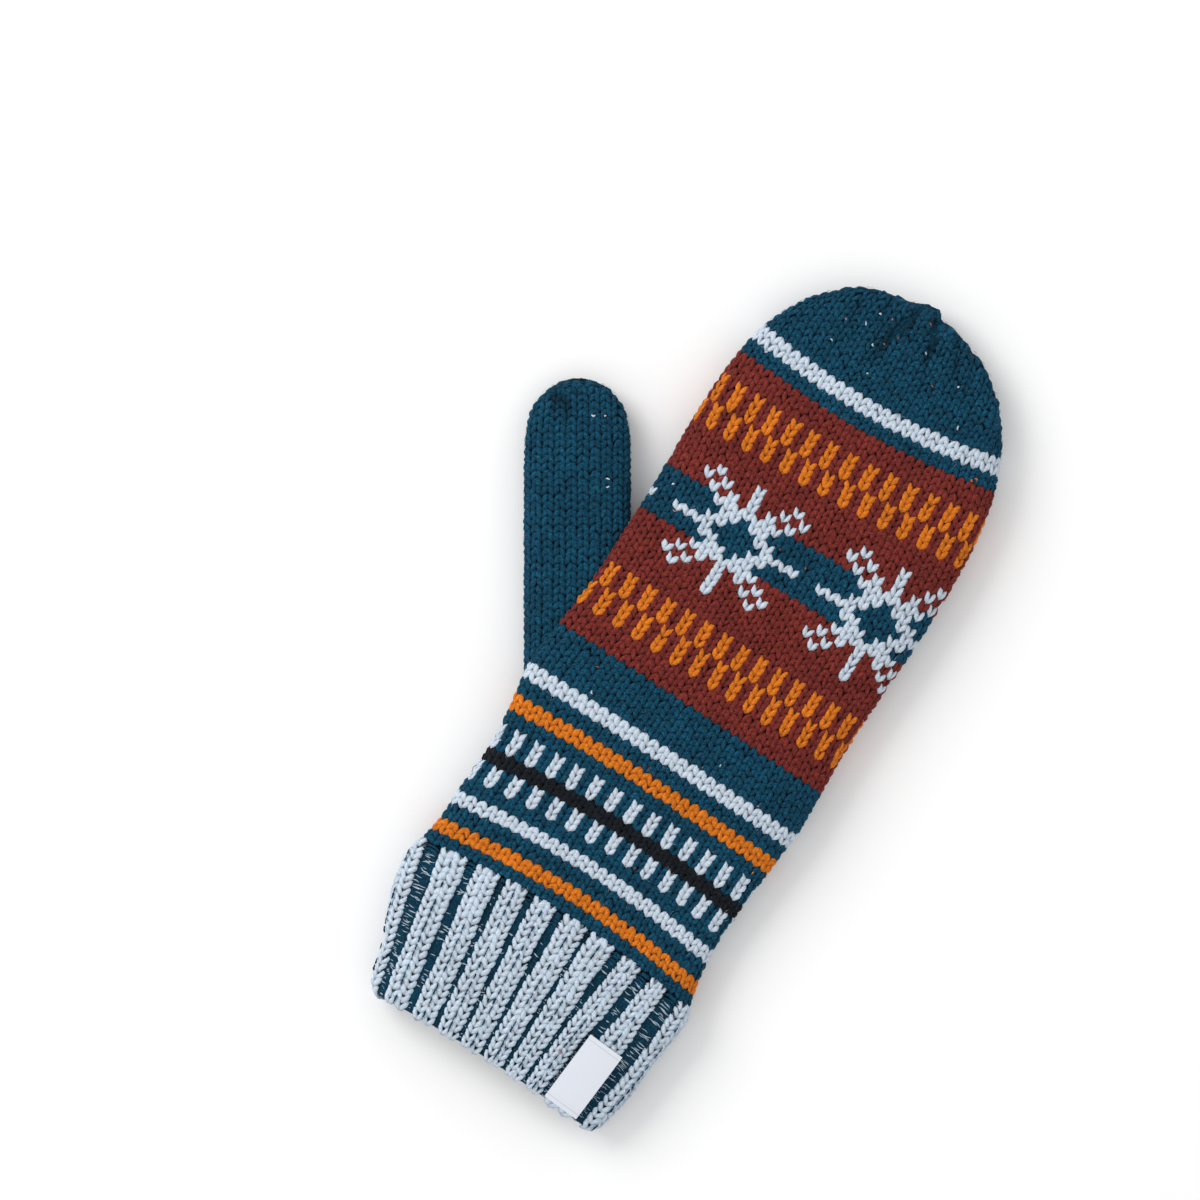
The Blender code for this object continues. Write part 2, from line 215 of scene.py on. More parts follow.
# Stray bits of yarn, as X and Y in mm from the hem's middle. Each piece of them has its yarn and the
# node that it lies on.
NEPS = [
    ("white_neps", "white", "hand", [
        (-14.0, 268.8), (5.0, 265.6), (-10.8, 259.3), (19.3, 261.6), (-23.2, 253.6), (-7.8, 250.0),
        (-39.0, 239.6), (-42.5, 188.2), (-16.5, 263.9), (25.9, 250.3), (-30.5, 118.4), (16.2, 119.3),
    ]),
    ("rust_neps", "rust", "hand", [
        (1.3, 274.2), (-5.1, 265.2), (-8.0, 261.2), (12.0, 257.6), (-9.5, 92.4), (10.0, 77.2),
        (-3.0, 187.8), (7.0, 186.9), (28.5, 94.6), (-33.5, 126.1),
    ]),
    ("blush_neps", "blush", "hand", [
        (-9.7, 269.4), (-22.5, 261.7), (-38.0, 181.4), (-27.5, 190.8), (33.1, 114.5),
    ]),
    ("orange_neps", "orange", "hand", [(38.5, 238.6), (39.1, 238.9), (42.6, 95.2)]),
    ("thumb_neps", "white", "thumb", [
        (-61.4, 178.9), (-60.2, 177.0), (-93.2, 190.0), (-75.9, 194.4), (-72.3, 195.8),
    ]),
    ("cuff_neps", "blush", "cuff", [
        (-23.7, 6.0), (14.5, 46.5), (19.7, 15.6), (44.5, 39.0), (-50.2, 36.4),
    ]),
    ("tag_threads", "orange", "cuff", [(31.9, 0.0), (25.6, 24.6)]),
    ("dark_threads", "black", "cuff", [(23.6, 0.6), (24.3, 0.5)]),
]
NEP_LENGTH = 1.3 * MM
NEP_LENGTHS = (0.6, 1.3)
NEP_BOW_SPREAD = 0.25
NEP_RADIUS = 0.26 * MM
NEP_RADII = (0.7, 1.2)
NEP_LIFT = 0.95 * MM
DROP_HEIGHT = 0.2

# The cuff's grooves across its front: X in mm and width in mm, at each of these heights
GROOVE_HEIGHTS = (4.0, 24.0, 47.0)
FRONT_GROOVES = [
    ((-39.6, -43.6, -48.0), (2.8, 4.6, 5.6)),
    ((-28.9, -31.6, -34.6), (2.6, 3.4, 3.2)),
    ((-19.0, -21.3, -23.7), (1.6, 1.9, 2.4)),
    ((-10.3, -11.7, -13.7), (1.5, 1.7, 3.0)),
    ((-1.5, -2.3, -3.2), (1.5, 1.6, 3.0)),
    ((6.7, 7.1, 7.5), (1.5, 1.6, 2.0)),
    ((14.7, 16.3, 18.7), (1.5, 1.8, 3.8)),
    ((22.3, 25.9, 29.5), (2.0, 4.2, 4.8)),
    ((36.2, 39.0, 41.0), (3.6, 5.6, 6.6)),
]
RIBS = 20
RIB_COLUMNS = 3
SIDE_RIB = 9.0 * MM
SIDE_GROOVE = 2.4 * MM
RIB_DEPTH = 1.9 * MM
RIB_SEAM = 0.5 * MM

# In columns: from a groove's middle to its edge, the width of its slope, half the width of a rib's
# seam, and the step between the places that are pressed
GROOVE_EDGE = 0.88
GROOVE_SLOPE = 0.48
SEAM_HALF = 0.3
RELIEF_STEP = 0.05

# The cuff's skin runs on over the hand, a little above it. Its ribs flatten out towards its ends.
CUFF_ROW_COUNT = 22
CUFF_OVERLAP = 4.6 * MM
RUN_ON_START = 2.5 * MM
RUN_ON_GAP = 5 * MM
RUN_ON_LIFT = 0.35 * MM
RELIEF_PLACES = (0, 0.04, 0.86, 1)
RELIEF_SHARES = (0.7, 1, 1, 0.45)

# The rows of the cuff's ribs, and how each column wavers: by row, by column, and in columns
RIB_FIRST_ROW = -0.3
CUFF_LAST_ROW = 19.15
RIB_ROW_COUNT = 21
RIB_WAVES = ((0.9, 2.1), (0.37, 5.3))
RIB_WAVE_SIZE = 0.04

# One bump of a groove, from left to right: across in columns, up in rows, and thickness as a share
PURL_BUMP = np.array([
    (-0.75, -0.25, 0.0), (-0.55, -0.10, 0.8), (-0.20, 0.12, 1.0), (0.20, 0.12, 1.0),
    (0.55, -0.10, 0.8), (0.75, -0.25, 0.0),
])
PURL_STEP = 0.5
PURL_OFFSET = 0.3
PURL_ROW_SPREAD = 0.05
PURL_TILT_SPREAD = 0.12
PURL_THICKNESS = 0.55 * MM
PURL_THICKNESS_SPREAD = 0.14
PURL_LIFT = 0.35 * MM
PURL_LIFT_SPREAD = 0.12 * MM
PURL_LAST_ROW = CUFF_LAST_ROW + 0.8
GROOVE_FIRST_ROW = -0.35
GROOVE_LAST_ROW = CUFF_LAST_ROW + 1.0

# The bumps rise towards the seam, from this row on
PURL_RISE_ROW = 17.0
PURL_RISE_ROWS = 2.5
PURL_RISE = 0.7 * MM

# The painted light on a groove's bumps at each width: narrow grooves are painted in shade
GROOVE_ROOM = (1.2 * MM, 2.2 * MM, 4.0 * MM)
GROOVE_PAINTED_LIGHT = (0.0, 0.45, 1.0)

# The pale flecks. A groove is listed as often as its share of them. Starts and reaches are in
# columns, slopes and bows in rows, and radii in mm.
FLECKS = 380
FLECK_GROOVES = [1, 1, 1, 1, 2, 2, 3, 4, 5, 6, 7, 8, 8, 8, 9, 9, 9, 9, 10, 12, 14, 16, 18]
FLECK_STARTS = (-0.6, 0.0)
FLECK_REACHES = (0.25, 0.85)
FLECK_SLOPE_SPREAD = 0.14
FLECK_BOW_SPREAD = 0.10
FLECK_RADII = (0.12, 0.26)
FLECK_LIFT = 1.15 * MM

# The strands between the two columns of a rib
STRAND_SHARE = 0.66
STRAND_SPREAD = 0.04
STRAND_STARTS = (0, 0.5)
STRAND_ROWS = 0.95
STRAND_LAST_ROW = CUFF_LAST_ROW - 0.6
STRAND_RADII = (0.22, 0.38)
STRAND_LIFT = 1.5 * MM

# The knitted bands up the hand, each with its last row
BANDS = [
    ("teal", 1), ("orange", 3), ("teal", 5), ("white", 7), ("teal", 9), ("dots", 12),
    ("black", 14), ("dots", 17), ("teal", 19), ("orange", 21), ("teal", 23), ("white", 25),
    ("teal", 31), ("maroon", 34), ("lower_checks", 37), ("upper_checks", 40), ("maroon", 43),
    ("snowflakes", 57), ("maroon", 60), ("lower_checks", 63), ("upper_checks", 66),
    ("maroon", 69), ("teal", 71), ("white", 73), ("teal", 999),
]
SNOW_FIRST_ROW = 44
SNOW_REPEAT = 15
SNOW_CENTRE = -5

# Half a snowflake, from its bottom row up: the white stitches at and right of its middle
SNOWFLAKE = [
    (0,), (0, 4), (0, 3, 5), (0, 2, 4), (0, 1, 2, 3), (1, 2), (2, 3), (3, 4, 5, 6), (2, 3),
    (1, 2), (0, 1, 2, 3), (0, 2, 4), (0, 3, 5), (0, 4),
]
SNOW_TEAL_LINES = range(5, 11)

# One leg of a stitch, from its foot up: how high in rows, how far out in columns, how far it
# stands above the cloth's middle in mm, and how thick it is as a share
LEG_UP, LEG_OUT, LEG_LIFT, LEG_TAPER = np.array([
    (-0.14, 0.035, -0.70, 0.00), (0.01, 0.066, -0.34, 0.76), (0.34, 0.165, 0.10, 1.00),
    (0.70, 0.286, 0.34, 1.10), (1.03, 0.386, 0.08, 1.06), (1.28, 0.428, -0.40, 0.84),
    (1.37, 0.438, -0.70, 0.00),
]).T
LEG_SIDES = 5
LEG_WIDTH = 0.240
LEG_HEIGHT = 0.66 * MM
LEG_HEIGHT_SHARE = 0.26
LUMP = 0.08 * MM
# How far in from a leg's ends its painted shade reaches, as a power
END_PAINTED_SHADE = 1.5

# How far above its row's line a stitch has its middle, and where its painted shade is read, in rows
MIDDLE_ROW = 0.8
SHADE_ROW = 0.7

# How much the legs differ: in width and height as shares, in place in columns and in rows, in lean
# as a share and in lift in mm
WIDTH_SPREAD = 0.07
HEIGHT_SPREAD = 0.05
COLUMN_SPREAD = 0.030
ROW_SPREAD = 0.050
LEAN_SPREAD = 0.07
LIFT_SPREAD = 0.05

# Where the knitting gathers, one stitch covers two or four columns. The shares are of the width of
# a full stitch: for one column, for two, and for any.
SPANS = (1, 2, 4)
SINGLE_SHARE = 0.55
DOUBLE_SHARE = 0.28
SMALLEST_SHARE = 0.2

# A loose fibre at four places along it: how far along, how far up and how thick, as shares
FIBRE_WAY = np.array([0, 0.33, 0.67, 1.0])
FIBRE_RISE = np.array([0.6, 1.0, 1.0, 0.3])
FIBRE_TAPER = np.array([0, 1, 1, 0])
FIBRE_LENGTH = 2.2 * MM
FIBRE_LENGTHS = (0.4, 1.2)
FIBRE_THICKNESS = 0.035 * MM
FIBRE_BEND_SPREAD = 0.35
FIBRE_STAND = 0.5 * MM
FIBRE_STANDS = (0.3, 1.0)
FIBRE_LIFT = 0.55 * MM
FIBRE_ROWS = 1.3
FIBRES_EACH = 1.7
RIB_FIBRES_EACH = 0.8

# A short thread at six places along it: how far along, and how thick as a share
THREAD_SIDES = 3
THREAD_WAY = np.linspace(0, 1, 6)
THREAD_ARCH = np.sin(THREAD_WAY * math.pi)
THREAD_TAPER = THREAD_ARCH ** 0.5
STRAND_TAPER = THREAD_ARCH ** 0.6

# The cloth behind the stitches, the closed cloth of the tips, and the linings, each painted in shade
BACKING_DROP = 0.70 * MM
BACKING_OFFSET = 0.35
TIP_PLACES = (0.0, 3.5 * MM, 7 * MM)
TIP_DROPS = (-0.7 * MM, -0.5 * MM, 0.7 * MM)
TIP_LUMP = 0.09 * MM
TIP_LINE_STEP = 2
TIP_COLUMN_STEP = 4
TIP_PAINTED_LIGHT = (0.1, 0.8)
HAND_TIP_REACH = 36 * MM
THUMB_TIP_REACH = 18 * MM
LINING_LINES = 48
LINING_COLUMNS = 80
LINING_WALL = 1.0 * MM
LINING_PAINTED_LIGHT = 0.3
NO_TRIANGLES = np.zeros((0, 3), int)

# Below this row the hand's teal stitches are one piece, and above it another
TEAL_SPLIT_ROW = 40

# How deep inside another piece a stitch or a lining may lie and still be made
HAND_SUNK = 0.5 * MM
THUMB_SUNK = 1.5 * MM
THUMB_LINING_SUNK = 2.5 * MM

# The tag
TAG_LEAN = math.radians(5.7)
HEM_DEPTH = 1.5 * MM
HEM_LINE = 0.14 * MM
HEM_SHADE = 0.8

# The wool: the part of each noise's range that shows, the span of painted light from full painted
# shade to full colour, and where the speckle's colour comes in
PATCH_SPAN = (0.3, 0.7)
FIBROUS_SPAN = (0.34, 0.66)
SPECK_SPAN = (0.36, 0.64)
OPEN_SPAN = (0, 0.8)
SPECKLE_SPAN = (0.55, 0.72)
SPECKLE_MOST = 0.5
SPECK_GRAIN = 0.7
WHOLE_SPAN = (0, 1)

# Colours, as linear red, green and blue
TEAL = (0.0040, 0.054, 0.101)
MAROON = (0.168, 0.0225, 0.0175)
ORANGE = (0.63, 0.168, 0.0105)
WHITE = (0.55, 0.63, 0.72)
BLACK = (0.006, 0.008, 0.012)
ICE = (0.54, 0.63, 0.73)
RUST = (0.30, 0.10, 0.05)
BLUSH = (0.42, 0.24, 0.24)
TAG_WHITE = (0.68, 0.71, 0.78)
PAPER = (0.92, 0.92, 0.92)

# The floor, the light and the camera. The key light's place is across the photo, right and up.
FLOOR_SIZE = 6.0
KEY_PLACE = (-1.1, 0.9)
KEY_HEIGHT = 1.2
KEY_SIZE = 1.1
KEY_POWER = 18
WORLD_LIGHT = 0.85
PHOTO_TURN = math.radians(31)
VIEW_CENTRE = (-22.0 * MM, 5.65 * MM)
VIEW_WIDTH = 383.4 * MM
VIEW_HEIGHT = 10 * MM
CAMERA_DISTANCE = 2.0
SENSOR = 36.0
CLIP_END = 10


def unit(vectors):
    """The directions of vectors, as vectors of length 1."""
    return vectors / np.maximum(np.linalg.norm(vectors, axis=-1, keepdims=True), TINY)


def smooth(share):
    """A share from 0 to 1, eased at both ends."""
    return share * share * (3 - 2 * share)


def turned(points, angle, start=(0, 0)):
    """Points turned about Z, then moved."""
    cos = math.cos(angle)
    sin = math.sin(angle)
    x, y, z = points[..., 0], points[..., 1], points[..., 2]
    return np.stack([start[0] + x * cos - y * sin, start[1] + x * sin + y * cos, z], axis=-1)


def row_at(rows, station):
    """The table's row at a fractional row number, on a smooth curve through its rows."""
    low = min(int(station), len(rows) - 2)
    part = station - low
    before, start, end, after = np.array(rows)[np.clip(range(low - 1, low + 3), 0, len(rows) - 1)]
    bend = 2 * before - 5 * start + 4 * end - after
    turn = 3 * start - before - 3 * end + after
    return Row(*(start + 0.5 * part * ((end - before) + part * (bend + part * turn))))


def rounded(angle, power):
    """Sideways and upward shares of a superellipse at an angle from its top."""
    across = np.sin(angle)
    upward = np.cos(angle)
    return (
        np.sign(across) * np.abs(across) ** (2 / power),
        np.sign(upward) * np.abs(upward) ** (2 / power),
    )


def section(row, size, inset):
    """A finely sampled cross-section, clockwise from its top middle, as X and Z."""
    angle = np.linspace(0, 2 * math.pi, OUTLINE_SAMPLES, endpoint=False)
    above = np.cos(angle) > 0
    top_across, top_up = rounded(angle, TOP_ROUND)
    under_across, under_up = rounded(angle, UNDER_ROUND)
    across = np.where(above, top_across, under_across)
    up = np.where(above, top_up, under_up)
    half_width = size.width / 2 - inset
    depth = size.depth - 2 * inset
    x = across * half_width * np.where(across < 0, row.left, row.right)
    side = np.where(across < 0, row.left_side, RIGHT_SIDE + row.bottom / 2)
    height = side + up * np.where(above, row.top - side, side - row.bottom)
    z = inset + depth * np.maximum(height, 0)
    return x, z


def ring(row, size, inset, count):
    """Points round a section from its top middle, as many down its right as up its left."""
    x, z = section(row, size, inset)
    x = np.append(x, x[0])
    z = np.append(z, z[0])
    way = np.concatenate(([0], np.cumsum(np.hypot(np.diff(x), np.diff(z)))))
    halves = np.linspace(0, 2, count, endpoint=False)
    place = np.interp(halves, [0, 1, 2], [0, way[OUTLINE_SAMPLES // 2], way[-1]])
    x = np.interp(place, way, x)
    z = np.interp(place, way, z)
    middle = (row.right - row.left) / 2
    half = (row.right + row.left) / 2
    share = (x / (size.width / 2) - middle) / half
    ahead = ROW_BOW * (row.bow * (1 - share**2) + row.tilt * share)
    y = size.start + row.along * (size.length - inset) + ahead
    return np.stack([x, y, z], axis=1)


class Skin:
    """A dense grid over a piece's surface. Things are placed on it by station and turn."""

    def __init__(self, rows, size, inset):
        self.last = len(rows) - 1
        sections = [row_at(rows, s) for s in np.linspace(0, self.last, SKIN_LINES)]
        self.points = np.array([ring(row, size, inset, SKIN_COLUMNS) for row in sections])
        # Painted shade on each point of the grid, as the share of light left: 1 where none is painted
        self.painted_shade = np.ones(self.points.shape[:2])
        self.find_normals()

    def find_normals(self):
        """Outward normals from the grid's two directions."""
        across = np.roll(self.points, -1, axis=1) - np.roll(self.points, 1, axis=1)
        up = np.gradient(self.points, axis=0)
        self.normals = unit(np.cross(across, up))

    def move(self, points):
        """Gives the grid new places."""
        self.points = points
        self.find_normals()

    def press(self, depths):
        """Draws the surface in, by a depth for each point of the grid."""
        points = self.points - self.normals * depths[:, :, None]
        points[:, :, 2] = np.maximum(points[:, :, 2], SKIN_INSET)
        self.move(points)

    def line_of(self, station):
        """The fractional line of the grid at a station."""
        return np.asarray(station) / self.last * (SKIN_LINES - 1)

    def painted_shade_at(self, station, turn):
        """The painted shade at a place, as the share of light left."""
        line = np.rint(self.line_of(station)).astype(int)
        column = np.rint((np.asarray(turn) % 1.0) * SKIN_COLUMNS).astype(int) % SKIN_COLUMNS
        return self.painted_shade[np.clip(line, 0, SKIN_LINES - 1), column]

    def at(self, station, turn):
        """Places and normals at fractional stations, and turns from 0 to 1 round the piece."""
        line = self.line_of(station)
        low = np.clip(np.floor(line).astype(int), 0, SKIN_LINES - 2)
        up = (line - low)[..., None]
        column = (np.asarray(turn) % 1.0) * SKIN_COLUMNS
        left = np.floor(column).astype(int) % SKIN_COLUMNS
        right = (left + 1) % SKIN_COLUMNS
        over = (column - np.floor(column))[..., None]
        found = []
        for grid in (self.points, self.normals):
            below = grid[low, left] * (1 - over) + grid[low, right] * over
            above = grid[low + 1, left] * (1 - over) + grid[low + 1, right] * over
            found.append(below * (1 - up) + above * up)
        return found[0], unit(found[1])

    def quarter(self):
        """A quarter of the way round the piece, on each line of the grid."""
        closed = np.concatenate([self.points, self.points[:, :1]], axis=1)
        return np.linalg.norm(np.diff(closed, axis=1), axis=2).sum(axis=1) / 4

    def tree(self):
        """A search tree over a coarser grid of the same surface."""
        points = self.points[::COARSE_STEP, ::COARSE_STEP]
        quads, _, _ = loop_quads(*points.shape[:2])
        return BVHTree.FromPolygons(points.reshape(-1, 3).tolist(), quads.tolist())


def loop_quads(lines, columns):
    """The quads between closed loops of points, with each point's number and its neighbour's."""
    ids = np.arange(lines * columns).reshape(lines, columns)
    after = np.roll(ids, -1, axis=1)
    quads = np.stack([ids[:-1], after[:-1], after[1:], ids[1:]], axis=-1)
    return quads.reshape(-1, 4), ids, after


def depth_inside(tree, points):
    """How far each point is behind the nearest face of a skin."""
    depths = []
    for point in points:
        place, normal, _, _ = tree.find_nearest(Vector(point))
        depths.append((place - Vector(point)).dot(normal))
    return np.array(depths)


def new_mesh(name, points, faces, light, material):
    """An object from arrays: points, lists of arrays of triangles and quads, and each point's
    painted light, from 0 to 1, which the wool turns into painted shade in its colour."""
    mesh = bpy.data.meshes.new(name)
    sizes = np.concatenate([np.full(len(f), f.shape[1]) for f in faces])
    corners = np.concatenate([f.reshape(-1) for f in faces])
    mesh.vertices.add(len(points))
    mesh.vertices.foreach_set("co", np.asarray(points, dtype=np.float32).reshape(-1))
    mesh.loops.add(len(corners))
    mesh.loops.foreach_set("vertex_index", corners.astype(np.int32))
    mesh.polygons.add(len(sizes))
    starts = np.concatenate(([0], np.cumsum(sizes)[:-1]))
    mesh.polygons.foreach_set("loop_start", starts.astype(np.int32))
    mesh.polygons.foreach_set("loop_total", sizes.astype(np.int32))
    mesh.polygons.foreach_set("use_smooth", np.full(len(sizes), True))
    mesh.update(calc_edges=True)
    painted_light = mesh.attributes.new("open", "FLOAT", "POINT")
    painted_light.data.foreach_set("value", light.astype(np.float32))
    mesh.materials.append(material)
    made = bpy.data.objects.new(name, mesh)
    bpy.context.scene.collection.objects.link(made)
    return made


def tubes(centres, normals, widths, heights, sides=LEG_SIDES):
    """Points and faces of many short tubes, which close to a point at both ends.

    centres and normals are (tubes, rings, 3). widths and heights are (tubes, rings). Tubes with
    more sides than a thread are a little lumpy. Each point also gets a painted light level: highest
    on a tube's top, with painted shade on its underside and towards both ends.
    """
    count, rings = centres.shape[:2]
    along = unit(np.gradient(centres, axis=1))
    side = unit(np.cross(along, normals))
    rise = np.cross(side, along)
    angle = np.arange(sides) / sides * 2 * math.pi + math.pi / 2
    middle = centres[:, 1:-1, None, :]
    out = side[:, 1:-1, None, :] * (widths[:, 1:-1, None] * np.cos(angle))[..., None]
    lift = rise[:, 1:-1, None, :] * (heights[:, 1:-1, None] * np.sin(angle))[..., None]
    lump = random.normal(0, LUMP, (*out.shape[:3], 1)) * unit(out + lift)
    body = (middle + out + lift + lump * (sides > THREAD_SIDES)).reshape(count, -1, 3)
    points = np.concatenate([centres[:, :1], body, centres[:, -1:]], axis=1)
    each = points.shape[1]
    # Painted light: brighter on each tube's top, with painted shade underneath and towards both ends
    ends = np.sin(np.linspace(0, math.pi, rings))[1:-1, None] ** END_PAINTED_SHADE
    painted_leg_light = ((0.5 + 0.5 * np.sin(angle))[None] * ends).reshape(-1)
    light = np.tile(np.concatenate([[0], painted_leg_light, [0]]), count)
    quads = []
    caps = []
    for k in range(sides):
        after = (k + 1) % sides
        for r in range(rings - 3):
            low = 1 + r * sides
            high = low + sides
            quads.append((low + k, high + k, high + after, low + after))
        last = 1 + (rings - 3) * sides
        caps.append((0, 1 + k, 1 + after))
        caps.append((each - 1, last + after, last + k))
    step = (np.arange(count) * each)[:, None, None]
    quads = (np.array(quads)[None] + step).reshape(-1, 4)
    caps = (np.array(caps)[None] + step).reshape(-1, 3)
    return points.reshape(-1, 3), quads, caps, light


def darkened(shape, shares):
    """A shape of many tubes, with each tube's painted light cut to a share, which paints shade on it.
    """
    points, quads, triangles, light = shape
    return points, quads, triangles, light * np.repeat(shares, len(light) // len(shares))


def joined(parts):
    """Several (points, quads, triangles, light) as one."""
    start = 0
    moved = []
    for points, quads, triangles, light in parts:
        moved.append((points, quads + start, triangles + start, light))
        start += len(points)
    return tuple(np.concatenate(arrays) for arrays in zip(*moved))


def stitch_legs(skin, place, column, row, span=1):
    """Both legs of each stitch as tubes. column and row are arrays, one entry for each stitch."""
    count = len(column)
    parts = []
    edge_left, _ = skin.at(*place(column - 0.5, row + MIDDLE_ROW))
    edge_right, _ = skin.at(*place(column + 0.5, row + MIDDLE_ROW))
    pitch = np.linalg.norm(edge_right - edge_left, axis=1) * span
    thick = pitch * LEG_WIDTH * random.normal(1, WIDTH_SPREAD, count)
    height = np.minimum(LEG_HEIGHT, pitch * LEG_HEIGHT_SHARE) * random.normal(1, HEIGHT_SPREAD, count)
    shift = random.normal(0, COLUMN_SPREAD, count)
    rise = random.normal(0, ROW_SPREAD, count)
    scale = np.minimum(pitch / STITCH_WIDTH, 1)[:, None]
    # Painted shade in the creases darkens each stitch's legs
    painted_shade = skin.painted_shade_at(*place(column, row + SHADE_ROW))
    for side in (-1, 1):
        lean = 1 + random.normal(0, LEAN_SPREAD, (count, 1))
        lift = random.normal(0, LIFT_SPREAD, (count, 1)) * MM
        across = column[:, None] + side * span * LEG_OUT * lean + shift[:, None]
        centre, normal = skin.at(*place(across, row[:, None] + LEG_UP + rise[:, None]))
        centre = centre + normal * (LEG_LIFT * MM * scale + lift)[..., None]
        legs = tubes(centre, normal, thick[:, None] * LEG_TAPER, height[:, None] * LEG_TAPER)
        parts.append(darkened(legs, painted_shade))
    return joined(parts)


def fibres(skin, place, column, row):
    """Loose fibres that stand up from the yarn, one at each place."""
    count = len(column)
    centre, normal = skin.at(*place(column, row))
    across = unit(np.cross(normal, random.normal(0, 1, (count, 3))))
    bend = np.cross(normal, across) * random.normal(0, FIBRE_BEND_SPREAD, (count, 1))
    length = FIBRE_LENGTH * random.uniform(*FIBRE_LENGTHS, (count, 1))
    stand = random.uniform(*FIBRE_STANDS, (count, 1)) * FIBRE_STAND
    share = FIBRE_WAY[None, :, None]
    path = centre[:, None] + (across[:, None] * share + bend[:, None] * share**2) * length[:, None]
    path = path + normal[:, None] * (FIBRE_LIFT + stand * FIBRE_RISE[None])[..., None]
    thick = np.tile(FIBRE_TAPER * FIBRE_THICKNESS, (count, 1))
    along_normals = np.repeat(normal[:, None], len(FIBRE_WAY), axis=1)
    return tubes(path, along_normals, thick, thick, sides=THREAD_SIDES)


def backing(skin, place, column, row, span=1):
    """The cloth behind each stitch, as two quads a stitch, painted in full shade."""
    low = row + BACKING_OFFSET
    grid = []
    for up in (0, 1):
        for across in (-0.5, 0, 0.5):
            found, normal = skin.at(*place(column + across * span, low + up))
            grid.append(found - normal * BACKING_DROP)
    points = np.stack(grid, axis=1)
    quads = np.array([(0, 1, 4, 3), (1, 2, 5, 4)])
    step = (np.arange(len(column)) * len(grid))[:, None, None]
    faces = (quads[None] + step).reshape(-1, 4)
    return points.reshape(-1, 3), faces, NO_TRIANGLES, np.zeros(points.size // 3)


def knitted(skin, place, column, row, span=1, fibres_each=FIBRES_EACH):
    """Stitches, the cloth behind them and their loose fibres."""
    count = int(len(column) * fibres_each)
    chosen = random.integers(0, len(column), count)
    return joined([
        stitch_legs(skin, place, column, row, span),
        backing(skin, place, column, row, span),
        fibres(
            skin, place,
            column[chosen] + random.uniform(-0.5, 0.5, count) * span,
            row[chosen] + random.uniform(0, FIBRE_ROWS, count),
        ),
    ])


def row_of_stitches(skin, place, row, around):
    """The stitches of a row, each as its first column, its row and its span."""
    columns = np.arange(around + 1.0) - around / 2
    edges, _ = skin.at(*place(columns, np.full(around + 1, row + MIDDLE_ROW)))
    widths = np.linalg.norm(np.diff(edges, axis=0), axis=1) / STITCH_WIDTH
    widest = SPANS[-1]
    found = []
    for first in range(0, around, widest):
        middle = widths[first:first + widest].mean()
        span = 1 if middle > SINGLE_SHARE else 2 if middle > DOUBLE_SHARE else widest
        if middle > SMALLEST_SHARE:
            found += [(first + k - around // 2, row, span) for k in range(0, widest, span)]
    return found


def stitched(skin, place, stitches, tree, sunk):
    """The knitting of stitches from row_of_stitches, as far as they stand clear of another piece."""
    first, row, span = np.array(stitches, dtype=float).T
    column = first + (span - 1) / 2
    centres, _ = skin.at(*place(column, row + MIDDLE_ROW))
    keep = depth_inside(tree, centres) < sunk
    shapes = []
    for size in SPANS:
        take = keep & (span == size)
        if take.any():
            shapes.append(knitted(skin, place, column[take], row[take], size))
    return shapes


def tip_cloth(skin, reach):
    """A closed surface behind the stitches of a gathered tip, with painted shade at a random level on
    each point.
    """
    top = skin.points[-1].mean(axis=0)
    near = np.linalg.norm(skin.points.mean(axis=1) - top, axis=1) < reach
    take = np.arange(int(np.argmax(near)), SKIN_LINES - 1, TIP_LINE_STEP)
    away = np.linalg.norm(skin.points[take].mean(axis=1) - top, axis=1)
    drop = np.interp(away, TIP_PLACES, TIP_DROPS)[:, None, None]
    points = (skin.points[take] - skin.normals[take] * drop)[:, ::TIP_COLUMN_STEP]
    points = points + random.normal(0, TIP_LUMP, points.shape)
    quads, ids, after = loop_quads(*points.shape[:2])
    triangles = np.stack([ids[-1], after[-1], np.full(len(ids[-1]), ids.size)], axis=-1)
    points = np.concatenate([points.reshape(-1, 3), points[-1].mean(axis=0)[None]])
    return points, quads, triangles, random.uniform(*TIP_PAINTED_LIGHT, len(points))


def grid_of(columns, rows):
    """Every column with every row, as two flat arrays."""
    column, row = np.meshgrid(columns, rows)
    return column.reshape(-1).astype(float), row.reshape(-1).astype(float)


def middle_line(skin):
    """Stations up the middle of a skin's top, and their places."""
    stations = np.linspace(0, skin.last, FINE_STEPS)
    return stations, skin.at(stations, np.zeros(FINE_STEPS))[0]


def equal_rows(skin, first, pitch):
    """Stations at an equal pitch up the middle of a skin's top, from a station to the tip."""
    stations, line = middle_line(skin)
    way = np.concatenate(([0], np.cumsum(np.linalg.norm(np.diff(line, axis=0), axis=1))))
    begin = np.interp(first, stations, way)
    count = math.ceil((way[-1] - begin) / pitch) + 1
    return np.interp(begin + pitch * np.arange(count), way, stations)


def hand_rows():
    """The hand's row numbers and their stations: up the front, then over the gathered top."""
    stations, line = middle_line(hand_skin)
    numbers, heights = np.array(FRONT_ROWS).T
    measured = np.interp(heights * MM + HEM_OFFSET, line[:, 1], stations)
    measured[0] = 2 * measured[1] - measured[2]
    top = equal_rows(hand_skin, measured[-1], CROWN_PITCH)
    top_numbers = numbers[-1] + np.arange(1, len(top))
    return np.concatenate([numbers, top_numbers]), np.concatenate([measured, top[1:]])


def eased(share):
    """A share of the way to a bag's outline, crowded towards 1 beyond BAG_FREE."""
    left = 1 - BAG_FREE
    crowded = 1 - left * np.exp(-(np.maximum(share, BAG_FREE) - BAG_FREE) / left)
    return np.where(share < BAG_FREE, share, crowded)


